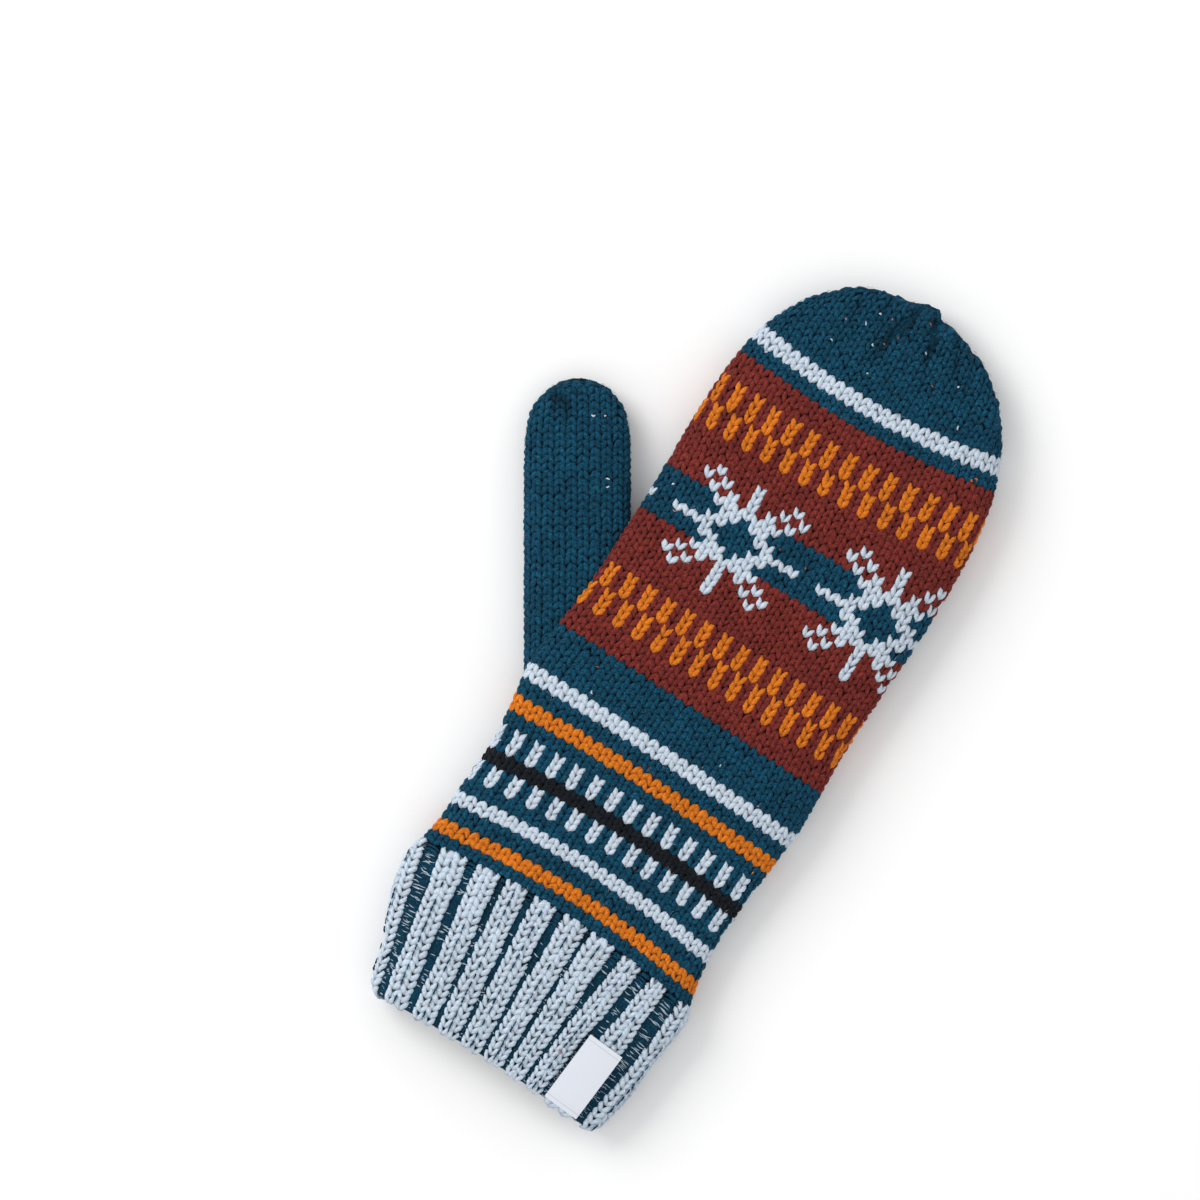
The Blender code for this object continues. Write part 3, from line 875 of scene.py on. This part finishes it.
def bag_turn(column, around, pitch, lean, room):
    """The turn of a column that keeps its pitch over the flat of a closed bag and ends at the
    outline. room is a quarter of the way round the bag at that place."""
    signed = (column + around / 2) % around - around / 2
    size = np.abs(signed)
    under = size > around / 4
    near = np.where(under, around / 2 - size, size)
    share = eased(near * pitch / room) / eased(around / 4 * pitch / room)
    turn = np.where(under, 0.5 - 0.25 * share, 0.25 * share) * np.sign(signed)
    return turn + lean / (4 * room) * (1 - share) * np.where(under, -1, 1)


def hand_place(column, row):
    """The station and turn of a place on the hand by column and row."""
    column = np.asarray(column, dtype=float)
    station = np.interp(row, hand_numbers, hand_stations)
    signed = (column + HAND_STITCHES / 2) % HAND_STITCHES - HAND_STITCHES / 2
    line = np.interp(row, [number for number, _ in LEANS], np.arange(len(LEANS)))
    lean = sum(
        np.interp(signed, LEAN_COLUMNS, leans) * np.maximum(1 - np.abs(line - k), 0)
        for k, (_, leans) in enumerate(LEANS)
    )
    turn = (signed + lean * MM / STITCH_WIDTH) / HAND_STITCHES
    room = np.interp(hand_skin.line_of(station), np.arange(SKIN_LINES), hand_room)
    bag = bag_turn(column, HAND_STITCHES, BAG_PITCH, BAG_LEAN, room)
    share = smooth(np.clip((np.asarray(row) - BAG_START) / (BAG_FULL - BAG_START), 0, 1))
    return station, turn + (bag - turn) * share


def thumb_place(column, row):
    """The station and turn of a place on the thumb by column and row."""
    column = np.asarray(column, dtype=float)
    station = np.interp(row, np.arange(len(thumb_stations)), thumb_stations)
    room = np.interp(thumb_skin.line_of(station), np.arange(SKIN_LINES), thumb_room)
    return station, bag_turn(column, THUMB_STITCHES, THUMB_BAG_PITCH, 0.0, room)


def press_creases(skin, creases, offset):
    """Presses the gathers' creases into the top of a skin, and paints shade into them by their depth.
    """
    x, y, _ = np.moveaxis(skin.points, 2, 0)
    up = np.clip(skin.normals[:, :, 2] * CREASE_FACING, 0, 1)
    up *= np.clip((y.max() - y) / CREASE_START, 0.0, 1.0)
    depths = np.zeros(x.shape)
    for (x0, y0), (x1, y1), depth, width in creases:
        share = (y - offset - y1 * MM) / ((y0 - y1) * MM)
        share = np.clip(share, CREASE_PLACES[0], CREASE_PLACES[-1])
        across = x - (x1 + (x0 - x1) * share) * MM
        fade = np.interp(share, CREASE_PLACES, CREASE_FADES)
        depths += depth * MM * fade * np.exp(-((across / (width * MM)) ** 2))
    skin.press(depths * up * CREASE_PRESS)
    # Painted shade: the deeper a crease, the darker its stitches are painted
    skin.painted_shade = 1 - np.clip(depths * up / CREASE_FULL_SHADE_DEPTH, 0, CREASE_MOST_SHADE)


def lift_peak():
    """Lifts the gathered top into its small peak."""
    points = hand_skin.points
    top = points[:, :, 1].max()
    near = np.clip((points[:, :, 1] - top + PEAK_REACH) / PEAK_REACH, 0, 1)
    lift = np.interp(points[:, :, 0] / MM, PEAK_PLACES, PEAK_LIFTS, left=0, right=0)
    points[:, :, 1] += near * lift * MM
    hand_skin.find_normals()


def run_on():
    """Carries the cuff's skin on over the seam, a little above the hand's. Returns the share of
    the ribs' depth on each of its lines."""
    seam = CUFF_LENGTH - RUN_ON_START + ROW_BOW
    end = CUFF_LENGTH + ROW_BOW + CUFF_OVERLAP
    low = cuff_skin.points[cuff_skin.points[:, 0, 1] < seam]
    high = hand_skin.points[hand_skin.points[:, 0, 1] > seam + RUN_ON_GAP]
    high = high[high[:, 0, 1] < end] + hand_skin.normals[2][None] * RUN_ON_LIFT
    lines = np.concatenate([low, high])
    way = lines[:, 0, 1] - lines[0, 0, 1]
    even = np.linspace(0, way[-1], SKIN_LINES)
    line = np.interp(even, way, np.arange(len(lines)))
    below = np.minimum(line.astype(int), len(lines) - 2)
    part = (line - below)[:, None, None]
    cuff_skin.move(lines[below] * (1 - part) + lines[below + 1] * part)
    return np.interp(even / even[-1], RELIEF_PLACES, RELIEF_SHARES)


def groove_middles(points):
    """The middle and the width of each groove on one line of the cuff's skin, as turns."""
    front = np.arange(-SKIN_COLUMNS // 4, SKIN_COLUMNS // 4)
    height = (points[0, 1] - HEM_OFFSET) / MM
    loop = np.concatenate([points, points[:1]])
    around = np.linalg.norm(np.diff(loop, axis=0), axis=1).sum()
    found = []
    for places, widths in FRONT_GROOVES:
        x = np.polyval(np.polyfit(GROOVE_HEIGHTS, places, 2), height) * MM
        width = np.interp(height, GROOVE_HEIGHTS, widths) * MM / around
        found.append((np.interp(x, points[front, 0], front / SKIN_COLUMNS), width))
    rib = SIDE_RIB / around
    width = SIDE_GROOVE / around
    found.insert(0, (found[0][0] - found[0][1] / 2 - rib, width))
    found.append((found[-1][0] + found[-1][1] / 2 + rib, width))
    under = RIBS - len(found)
    last = found[-1][0]
    step = (1 + found[0][0] - last) / (under + 1)
    found += [(last + step * (k + 1), width) for k in range(under)]
    found.append((found[0][0] + 1, width))
    return found


def groove_knots():
    """The edges of the cuff's grooves: their columns, and their turns on each line of the skin."""
    edges = (-0.5, 0.5)
    knots = np.array([RIB_COLUMNS * j + edge for j in range(RIBS + 1) for edge in edges])
    turns = [
        [middle + edge * width for middle, width in groove_middles(points) for edge in edges]
        for points in cuff_skin.points
    ]
    return knots, np.array(turns)


def cuff_place(column, row):
    """The station and turn of a place on the cuff by column and row."""
    column = np.asarray(column, dtype=float)
    station = np.asarray(row) / CUFF_ROW_COUNT * cuff_skin.last
    line = cuff_skin.line_of(station)
    low = np.clip(line, 0, SKIN_LINES - 2).astype(int)
    knot = np.clip(np.searchsorted(cuff_knots, column, side="right") - 1, 0, len(cuff_knots) - 2)
    part = (column - cuff_knots[knot]) / (cuff_knots[knot + 1] - cuff_knots[knot])
    turns = []
    for one in (low, low + 1):
        left = cuff_turns[one, knot]
        right = cuff_turns[one, knot + 1]
        turns.append(left + (right - left) * part)
    return station, turns[0] + (turns[1] - turns[0]) * (np.clip(line, 0, SKIN_LINES - 1) - low)


def press_ribs(relief):
    """Presses the grooves, and the seam up the middle of each rib, into the cuff's skin."""
    columns = np.arange(-0.5, RIB_COLUMNS * RIBS - 0.5, RELIEF_STEP)
    half = RIB_COLUMNS / 2
    away = np.abs((columns + half) % RIB_COLUMNS - half)
    dip = smooth(np.clip((GROOVE_EDGE - away) / GROOVE_SLOPE, 0, 1)) * RIB_DEPTH
    dip += np.clip(1 - np.abs(away - half) / SEAM_HALF, 0, 1) * RIB_SEAM
    depths = np.zeros((SKIN_LINES, SKIN_COLUMNS))
    for line in range(SKIN_LINES):
        _, turns = cuff_place(columns, line / (SKIN_LINES - 1) * CUFF_ROW_COUNT)
        depths[line] = np.interp(
            (np.arange(SKIN_COLUMNS) / SKIN_COLUMNS - turns[0]) % 1 + turns[0],
            np.append(turns, turns[0] + 1), np.append(dip, dip[0]),
        )
    cuff_skin.press(depths * relief[:, None])


def band_of(row):
    """The band that a row is in."""
    for name, last in BANDS:
        if row <= last:
            return name


def colour_of(row, column):
    """The colour of a stitch of the hand, by its row and its column from the top middle."""
    band = band_of(row)
    odd = column % 2 == 1
    if band == "dots":
        return "teal" if odd else "white"
    if band == "lower_checks":
        return "maroon" if odd else "orange"
    if band == "upper_checks":
        return "orange" if odd else "maroon"
    if band == "snowflakes":
        line = row - SNOW_FIRST_ROW
        away = (column - SNOW_CENTRE + SNOW_REPEAT // 2) % SNOW_REPEAT - SNOW_REPEAT // 2
        if abs(away) in SNOWFLAKE[line]:
            return "white"
        return "teal" if line in SNOW_TEAL_LINES else "maroon"
    return band


def new_material(name, roughness, sheen=0.0):
    """A material, its nodes and its shader."""
    material = bpy.data.materials.new(name)
    material.use_nodes = True
    shader = material.node_tree.nodes["Principled BSDF"]
    shader.inputs["Roughness"].default_value = roughness
    shader.inputs["Sheen Weight"].default_value = sheen
    return material, material.node_tree, shader


def linked(tree, kind, inputs=(), **settings):
    """A new node, with each input set to a value or linked to a socket."""
    node = tree.nodes.new("ShaderNode" + kind)
    for key, value in settings.items():
        setattr(node, key, value)
    for key, value in inputs:
        if isinstance(value, bpy.types.NodeSocket):
            tree.links.new(value, node.inputs[key])
        else:
            node.inputs[key].default_value = value
    return node


def noise(tree, where, scale, detail=2.0, roughness=0.5):
    """A noise texture's level."""
    return linked(tree, "TexNoise", [
        ("Vector", where), ("Scale", scale), ("Detail", detail), ("Roughness", roughness),
    ]).outputs["Fac"]


def ranged(tree, value, span, low, high):
    """A level brought from its span to run from low to high, and kept between them."""
    return linked(tree, "MapRange", [
        ("Value", value), ("From Min", span[0]), ("From Max", span[1]),
        ("To Min", low), ("To Max", high),
    ]).outputs["Result"]


def multiplied(tree, levels):
    """The product of several levels."""
    product = levels[0]
    for level in levels[1:]:
        node = linked(tree, "Math", [(0, product), (1, level)], operation="MULTIPLY")
        product = node.outputs[0]
    return product


def surface(tree, shader, colour, level, height, strength, distance):
    """Gives a shader its colour, times a level, and its bump."""
    toned = linked(tree, "VectorMath", [("Vector", colour), ("Scale", level)], operation="SCALE")
    bump = linked(tree, "Bump", [("Strength", strength), ("Distance", distance), ("Height", height)])
    tree.links.new(toned.outputs["Vector"], shader.inputs["Base Color"])
    tree.links.new(bump.outputs["Normal"], shader.inputs["Normal"])


def wool(name, colour, speckle, light=0.20, grain=0.30, painted_shade=0.42, sheen=0.06):
    """Matt, fibrous yarn: each leg differs a little, loose fibres catch the light, and painted shade
    darkens the colour where a point's painted light is low.
    """
    material, tree, shader = new_material(name, roughness=0.95, sheen=sheen)
    material.diffuse_color = (*colour, 1)
    shader.inputs["Specular IOR Level"].default_value = 0.12
    shader.inputs["Sheen Roughness"].default_value = 0.6
    shader.inputs["Sheen Tint"].default_value = (*[0.5 + 0.5 * c for c in colour], 1)

    where = linked(tree, "TexCoord").outputs["Object"]
    patches = noise(tree, where, scale=90, detail=3)
    fibrous = noise(tree, where, scale=1700, detail=3, roughness=0.7)
    specks = noise(tree, where, scale=3600)
    leg = linked(tree, "NewGeometry").outputs["Random Per Island"]
    painted_light = linked(tree, "Attribute", attribute_name="open").outputs["Fac"]
    salt = grain * SPECK_GRAIN
    level = multiplied(tree, [
        ranged(tree, leg, WHOLE_SPAN, 1 - light / 2, 1 + light / 2),
        ranged(tree, patches, PATCH_SPAN, 1 - light / 2, 1 + light / 2),
        ranged(tree, fibrous, FIBROUS_SPAN, 1 - grain, 1 + grain),
        ranged(tree, specks, SPECK_SPAN, 1 - salt, 1 + salt),
        # Painted shade: the colour falls towards the shade share where the painted light is low
        ranged(tree, painted_light, OPEN_SPAN, painted_shade, 1),
    ])
    dyed = linked(tree, "Mix", [
        ("Factor", ranged(tree, fibrous, SPECKLE_SPAN, 0, SPECKLE_MOST)),
        ("A", (*colour, 1)), ("B", (*speckle, 1)),
    ], data_type="RGBA")
    surface(tree, shader, dyed.outputs["Result"], level, fibrous, strength=0.7, distance=0.45 * MM)
    return material


def cloth(name, colour, axis, hems):
    """The tag's fine, tightly woven cloth, with a faint line at each of its hems."""
    material, tree, shader = new_material(name, roughness=0.8, sheen=0.1)
    where = linked(tree, "TexCoord").outputs["Object"]
    along = linked(tree, "VectorMath", [(0, where), (1, axis)], operation="DOT_PRODUCT")
    levels = []
    for hem in hems:
        line = linked(tree, "Math", [
            (0, along.outputs["Value"]), (1, hem), (2, HEM_LINE),
        ], operation="COMPARE")
        levels.append(ranged(tree, line.outputs[0], WHOLE_SPAN, 1, HEM_SHADE))
    weave = noise(tree, where, scale=2600)
    level = multiplied(tree, levels)
    surface(tree, shader, colour, level, weave, strength=0.35, distance=0.12 * MM)
    return material


# Each wool's colour and the colour of its speckle, and then how it differs from the usual, where
# shade is the share of its colour left under full painted shade
wools = {
    name: wool(name + "_wool", colour, speckle, **settings)
    for name, colour, speckle, settings in (
        ("teal", TEAL, (0.010, 0.095, 0.155), dict(light=0.24, grain=0.55, painted_shade=0.28, sheen=0.03)),
        # The groove wool is the same teal with deeper painted shade, for the cuff's grooves
        ("groove", TEAL, (0.010, 0.090, 0.150), dict(light=0.24, grain=0.5, painted_shade=0.12, sheen=0.03)),
        ("maroon", MAROON, (0.26, 0.055, 0.040), dict(light=0.22, grain=0.36, painted_shade=0.5)),
        ("orange", ORANGE, (0.78, 0.33, 0.06), dict(light=0.16, grain=0.24, painted_shade=0.64)),
        ("white", WHITE, (0.70, 0.76, 0.82), dict(light=0.06, grain=0.12, painted_shade=0.68)),
        ("black", BLACK, (0.02, 0.025, 0.03), dict(light=0.25, grain=0.45)),
        ("ice", ICE, (0.68, 0.75, 0.82), dict(light=0.08, grain=0.16, painted_shade=0.64)),
        ("rust", RUST, (0.4, 0.2, 0.12), {}),
        ("blush", BLUSH, (0.5, 0.36, 0.34), {}),
    )
}

# The skins, and how far they are moved to lie where the CAD solids are
hand_skin = Skin(HAND_ROWS, HAND_SIZE, SKIN_INSET)
cuff_skin = Skin(CUFF_ROWS, CUFF_SIZE, SKIN_INSET)
thumb_skin = Skin(THUMB_ROWS, THUMB_SIZE, SKIN_INSET)
thumb_inside = Skin(THUMB_ROWS, THUMB_SIZE, WALL)
hand_low, hand_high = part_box("hand")
hand_x, hand_y, _ = hand_skin.points.reshape(-1, 3).T
SHIFT = np.array([
    (hand_low[0] + hand_high[0] - hand_x.min() - hand_x.max()) / 2,
    hand_high[1] - hand_y.max() - SKIN_INSET,
    0,
])
hand_numbers, hand_stations = hand_rows()
thumb_stations = equal_rows(thumb_skin, 0.0, THUMB_PITCH)

hand_tree = hand_skin.tree()
press_creases(hand_skin, CREASES, HEM_OFFSET)
lift_peak()
hand_room = hand_skin.quarter()

press_creases(thumb_skin, THUMB_CREASES, THUMB_SIZE.length)
thumb_room = thumb_skin.quarter()
for skin in (thumb_skin, thumb_inside):
    skin.move(turned(skin.points, THUMB_SPREAD, THUMB_ROOT))
thumb_tree = thumb_inside.tree()

cuff_relief = run_on()
cuff_knots, cuff_turns = groove_knots()
press_ribs(cuff_relief)


def add_piece(name, shape, yarn, node):
    """A finished piece of the mitten, in one of the wools, that stands for a CAD node."""
    points, quads, triangles, light = shape
    made = new_mesh(name, points + SHIFT, [quads, triangles], light, wools[yarn])
    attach(made, "root")
    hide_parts(node)


def knit_hand():
    """The hand's stitches, as a piece for each colour and two for teal."""
    groups = {}
    for row in range(int(hand_numbers[-1]) - 1):
        for stitch in row_of_stitches(hand_skin, hand_place, row, HAND_STITCHES):
            key = colour_of(row, stitch[0])
            if key == "teal":
                key = "teal_lower" if row < TEAL_SPLIT_ROW else "teal_upper"
            groups.setdefault(key, []).append(stitch)
    for key, stitches in groups.items():
        shapes = stitched(hand_skin, hand_place, stitches, thumb_tree, HAND_SUNK)
        if key == "teal_upper":
            shapes.append(tip_cloth(hand_skin, HAND_TIP_REACH))
        if key == "teal_lower":
            first = np.arange(-HAND_STITCHES / 2, HAND_STITCHES / 2)
            shapes.append(backing(hand_skin, hand_place, first, np.full(len(first), -1.0)))
        add_piece("hand_" + key, joined(shapes), key.split("_")[0], "hand")


def knit_thumb():
    """The thumb's stitches, as far as they stand clear of the hand."""
    stitches = []
    for row in range(len(thumb_stations) - 2):
        stitches += row_of_stitches(thumb_skin, thumb_place, row, THUMB_STITCHES)
    shapes = stitched(thumb_skin, thumb_place, stitches, hand_tree, THUMB_SUNK)
    shapes.append(tip_cloth(thumb_skin, THUMB_TIP_REACH))
    add_piece("thumb_stitches", joined(shapes), "teal", "thumb")


def knit_ribs():
    """The two columns of stitches of each of the cuff's ribs."""
    columns = [RIB_COLUMNS * j + k for j in range(RIBS) for k in (1, 2)]
    column, row = grid_of(columns, np.linspace(RIB_FIRST_ROW, CUFF_LAST_ROW, RIB_ROW_COUNT))
    waves = [np.sin(row * by_row + column * by_column) for by_row, by_column in RIB_WAVES]
    column = column + sum(waves) * RIB_WAVE_SIZE
    shape = knitted(cuff_skin, cuff_place, column, row, fibres_each=RIB_FIBRES_EACH)
    add_piece("cuff_ribs", shape, "ice", "cuff")


def knit_grooves():
    """The purl bumps in the cuff's grooves, and the cloth behind them, painted in deeper shade the
    narrower the groove.
    """
    grooves = np.arange(0.0, RIB_COLUMNS * RIBS, RIB_COLUMNS)
    column, row = grid_of(grooves, np.arange(GROOVE_FIRST_ROW, GROOVE_LAST_ROW))
    behind = backing(cuff_skin, cuff_place, column, row)
    column, row = grid_of(grooves, np.arange(0, PURL_LAST_ROW, PURL_STEP))
    count = len(row)
    row += random.normal(0, PURL_ROW_SPREAD, count)
    tilt = random.normal(0, PURL_TILT_SPREAD, (count, 1))
    across, arch, fat = PURL_BUMP.T
    centre, normal = cuff_skin.at(*cuff_place(
        column[:, None] + across, row[:, None] + arch + tilt * across + PURL_OFFSET
    ))
    thick = fat * PURL_THICKNESS * random.normal(1, PURL_THICKNESS_SPREAD, (count, 1))
    lift = PURL_LIFT + random.normal(0, PURL_LIFT_SPREAD, count)
    lift += np.clip((row - PURL_RISE_ROW) / PURL_RISE_ROWS, 0, 1) * PURL_RISE
    bumps = tubes(centre + normal * lift[:, None, None], normal, thick, thick)
    width = np.linalg.norm(centre[:, -2] - centre[:, 1], axis=1)
    # Painted shade: bumps in narrow grooves are painted darker
    bumps = darkened(bumps, np.interp(width, GROOVE_ROOM, GROOVE_PAINTED_LIGHT))
    add_piece("cuff_grooves", joined([behind, bumps]), "groove", "cuff")


def add_flecks():
    """The pale flecks that cross the grooves, most of them in the wide ones."""
    column = random.choice(FLECK_GROOVES, FLECKS) * float(RIB_COLUMNS)
    row = random.uniform(0, CUFF_LAST_ROW, FLECKS)
    start = random.uniform(*FLECK_STARTS, FLECKS)
    reach = random.uniform(*FLECK_REACHES, (FLECKS, 1))
    slope = random.normal(0, FLECK_SLOPE_SPREAD, (FLECKS, 1))
    bow = random.normal(0, FLECK_BOW_SPREAD, (FLECKS, 1))
    centre, normal = cuff_skin.at(*cuff_place(
        (column + start)[:, None] + reach * THREAD_WAY,
        row[:, None] + slope * THREAD_WAY + bow * THREAD_ARCH,
    ))
    normal = unit(np.repeat(normal.mean(axis=1, keepdims=True), len(THREAD_WAY), axis=1))
    height = (centre * normal).sum(axis=2, keepdims=True)
    centre = centre + normal * (height.mean(axis=1, keepdims=True) - height + FLECK_LIFT)
    thick = THREAD_TAPER * random.uniform(*FLECK_RADII, (FLECKS, 1)) * MM
    shape = tubes(centre, normal, thick, thick, sides=THREAD_SIDES)
    add_piece("cuff_flecks", shape, "ice", "cuff")


def add_strands():
    """The teal strands that show between the two columns of each rib."""
    seams = np.arange(RIB_COLUMNS / 2, RIB_COLUMNS * RIBS, RIB_COLUMNS)
    column, row = grid_of(seams, np.arange(0.0, STRAND_LAST_ROW))
    keep = random.uniform(0, 1, len(column)) < STRAND_SHARE
    column, row = column[keep, None], row[keep, None]
    lean = random.normal(0, STRAND_SPREAD, column.shape)
    start = random.uniform(*STRAND_STARTS, column.shape)
    centre, normal = cuff_skin.at(*cuff_place(
        column + lean + 0 * THREAD_WAY, row + start + STRAND_ROWS * THREAD_WAY
    ))
    thick = STRAND_TAPER * random.uniform(*STRAND_RADII, column.shape) * MM
    shape = tubes(centre + normal * STRAND_LIFT, normal, thick, thick)
    add_piece("cuff_strands", shape, "teal", "cuff")


def add_neps(name, yarn, node, places, tree):
    """Short bits of stray yarn on top of the knitting."""
    shape = []
    for x, y in places:
        above = Vector((x * MM, y * MM + HEM_OFFSET, DROP_HEIGHT))
        found, _, _, _ = tree.ray_cast(above, Vector((0, 0, -1)))
        aim = random.uniform(0, math.pi)
        way = np.array([math.cos(aim), math.sin(aim), 0]) * NEP_LENGTH * random.uniform(*NEP_LENGTHS)
        bow = np.array([-way[1], way[0], 0]) * random.normal(0, NEP_BOW_SPREAD)
        path = np.array(found) + way * (THREAD_WAY - 0.5)[:, None] + bow * THREAD_ARCH[:, None]
        path[:, 2] += NEP_LIFT
        up = np.tile((0.0, 0.0, 1.0), (1, len(path), 1))
        thick = THREAD_TAPER[None] * NEP_RADIUS * random.uniform(*NEP_RADII)
        shape.append(tubes(path[None], up, thick, thick))
    add_piece(name, joined(shape), yarn, node)


def lining(rows, size):
    """The outer and the inner side of the knitting's inner layer, as two grids of points."""
    take = np.linspace(0, SKIN_LINES - 1, LINING_LINES).astype(int)
    step = SKIN_COLUMNS // LINING_COLUMNS
    return [Skin(rows, size, inset).points[take][:, ::step] for inset in (WALL - LINING_WALL, WALL)]


def wall(outer, inner, ends=(0,), tree=None, sunk=0.0):
    """A wall between two grids of points, folded over at some of its end lines, as far as it stands
    clear of another piece."""
    shell, ids, after = loop_quads(*outer.shape[:2])
    quads = [shell, shell[:, ::-1] + ids.size]
    for end in ends:
        rim = np.stack([ids[end], after[end], after[end] + ids.size, ids[end] + ids.size], axis=-1)
        quads.append(rim[:, [0, 3, 2, 1]] if end == 0 else rim)
    quads = np.concatenate(quads)
    points = np.concatenate([outer.reshape(-1, 3), inner.reshape(-1, 3)])
    if tree is not None:
        quads = quads[depth_inside(tree, points[quads].mean(axis=1)) < sunk]
    # The wall is painted in shade, as the inside of the knitting
    return points, quads, NO_TRIANGLES, np.full(len(points), LINING_PAINTED_LIGHT)


def line_pieces():
    """The inner side of the hand, the thumb and the cuff, painted in shade."""
    shape = wall(*lining(HAND_ROWS, HAND_SIZE), tree=thumb_tree)
    add_piece("hand_lining", shape, "teal", "hand")
    sides = [turned(side, THUMB_SPREAD, THUMB_ROOT) for side in lining(THUMB_ROWS, THUMB_SIZE)]
    shape = wall(*sides, tree=hand_tree, sunk=THUMB_LINING_SUNK)
    add_piece("thumb_lining", shape, "teal", "thumb")
    shape = wall(*lining(CUFF_ROWS, CUFF_SIZE), ends=(0, -1))
    add_piece("cuff_lining", shape, "teal", "cuff")


def weave_tag():
    """The tag keeps its CAD shape and gets its cloth."""
    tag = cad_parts["tag"]
    axis = (math.sin(TAG_LEAN), math.cos(TAG_LEAN), 0)
    reach = [vertex.co.dot(Vector(axis)) for vertex in tag.data.vertices]
    hems = (max(reach) - HEM_DEPTH, min(reach) + HEM_DEPTH)
    tag.data.materials.clear()
    tag.data.materials.append(cloth("tag_cloth", TAG_WHITE, axis, hems))


def lay_floor():
    """A pale floor under the mitten."""
    bpy.ops.mesh.primitive_plane_add(size=FLOOR_SIZE)
    floor = bpy.context.object
    floor.name = "floor"
    paper, _, shader = new_material("paper", roughness=0.9)
    shader.inputs["Base Color"].default_value = (*PAPER, 1)
    floor.data.materials.append(paper)


def set_light():
    """A soft key light from the photo's upper left, and an even white world."""
    data = bpy.data.lights.new("key_light", "AREA")
    data.shape = "SQUARE"
    data.size = KEY_SIZE
    data.energy = KEY_POWER
    key = bpy.data.objects.new("key_light", data)
    place = Vector(turned(np.array([*KEY_PLACE, KEY_HEIGHT]), PHOTO_TURN))
    key.location = place
    key.rotation_euler = (-place).to_track_quat("-Z", "Y").to_euler()
    bpy.context.scene.collection.objects.link(key)

    world = bpy.data.worlds.new("studio")
    bpy.context.scene.world = world
    world.use_nodes = True
    sky = world.node_tree.nodes["Background"]
    sky.inputs["Color"].default_value = (1, 1, 1, 1)
    sky.inputs["Strength"].default_value = WORLD_LIGHT


def set_camera():
    """The photo's camera, straight above, framed as the photo is."""
    lens = bpy.data.cameras.new("camera")
    lens.sensor_width = SENSOR
    lens.lens = SENSOR * CAMERA_DISTANCE / VIEW_WIDTH
    lens.clip_end = CLIP_END
    camera = bpy.data.objects.new("camera", lens)
    camera.location = (*VIEW_CENTRE, CAMERA_DISTANCE + VIEW_HEIGHT)
    camera.rotation_euler = (0, 0, PHOTO_TURN)
    scene = bpy.context.scene
    scene.collection.objects.link(camera)
    scene.camera = camera
    scene.view_settings.view_transform = "Standard"


knit_hand()
knit_thumb()
knit_ribs()
knit_grooves()
add_flecks()
add_strands()

tops = {"hand": hand_skin.tree(), "thumb": thumb_skin.tree(), "cuff": cuff_skin.tree()}
for name, yarn, node, places in NEPS:
    add_neps(name, yarn, node, places, tops[node])
line_pieces()
weave_tag()
lay_floor()
set_light()
set_camera()
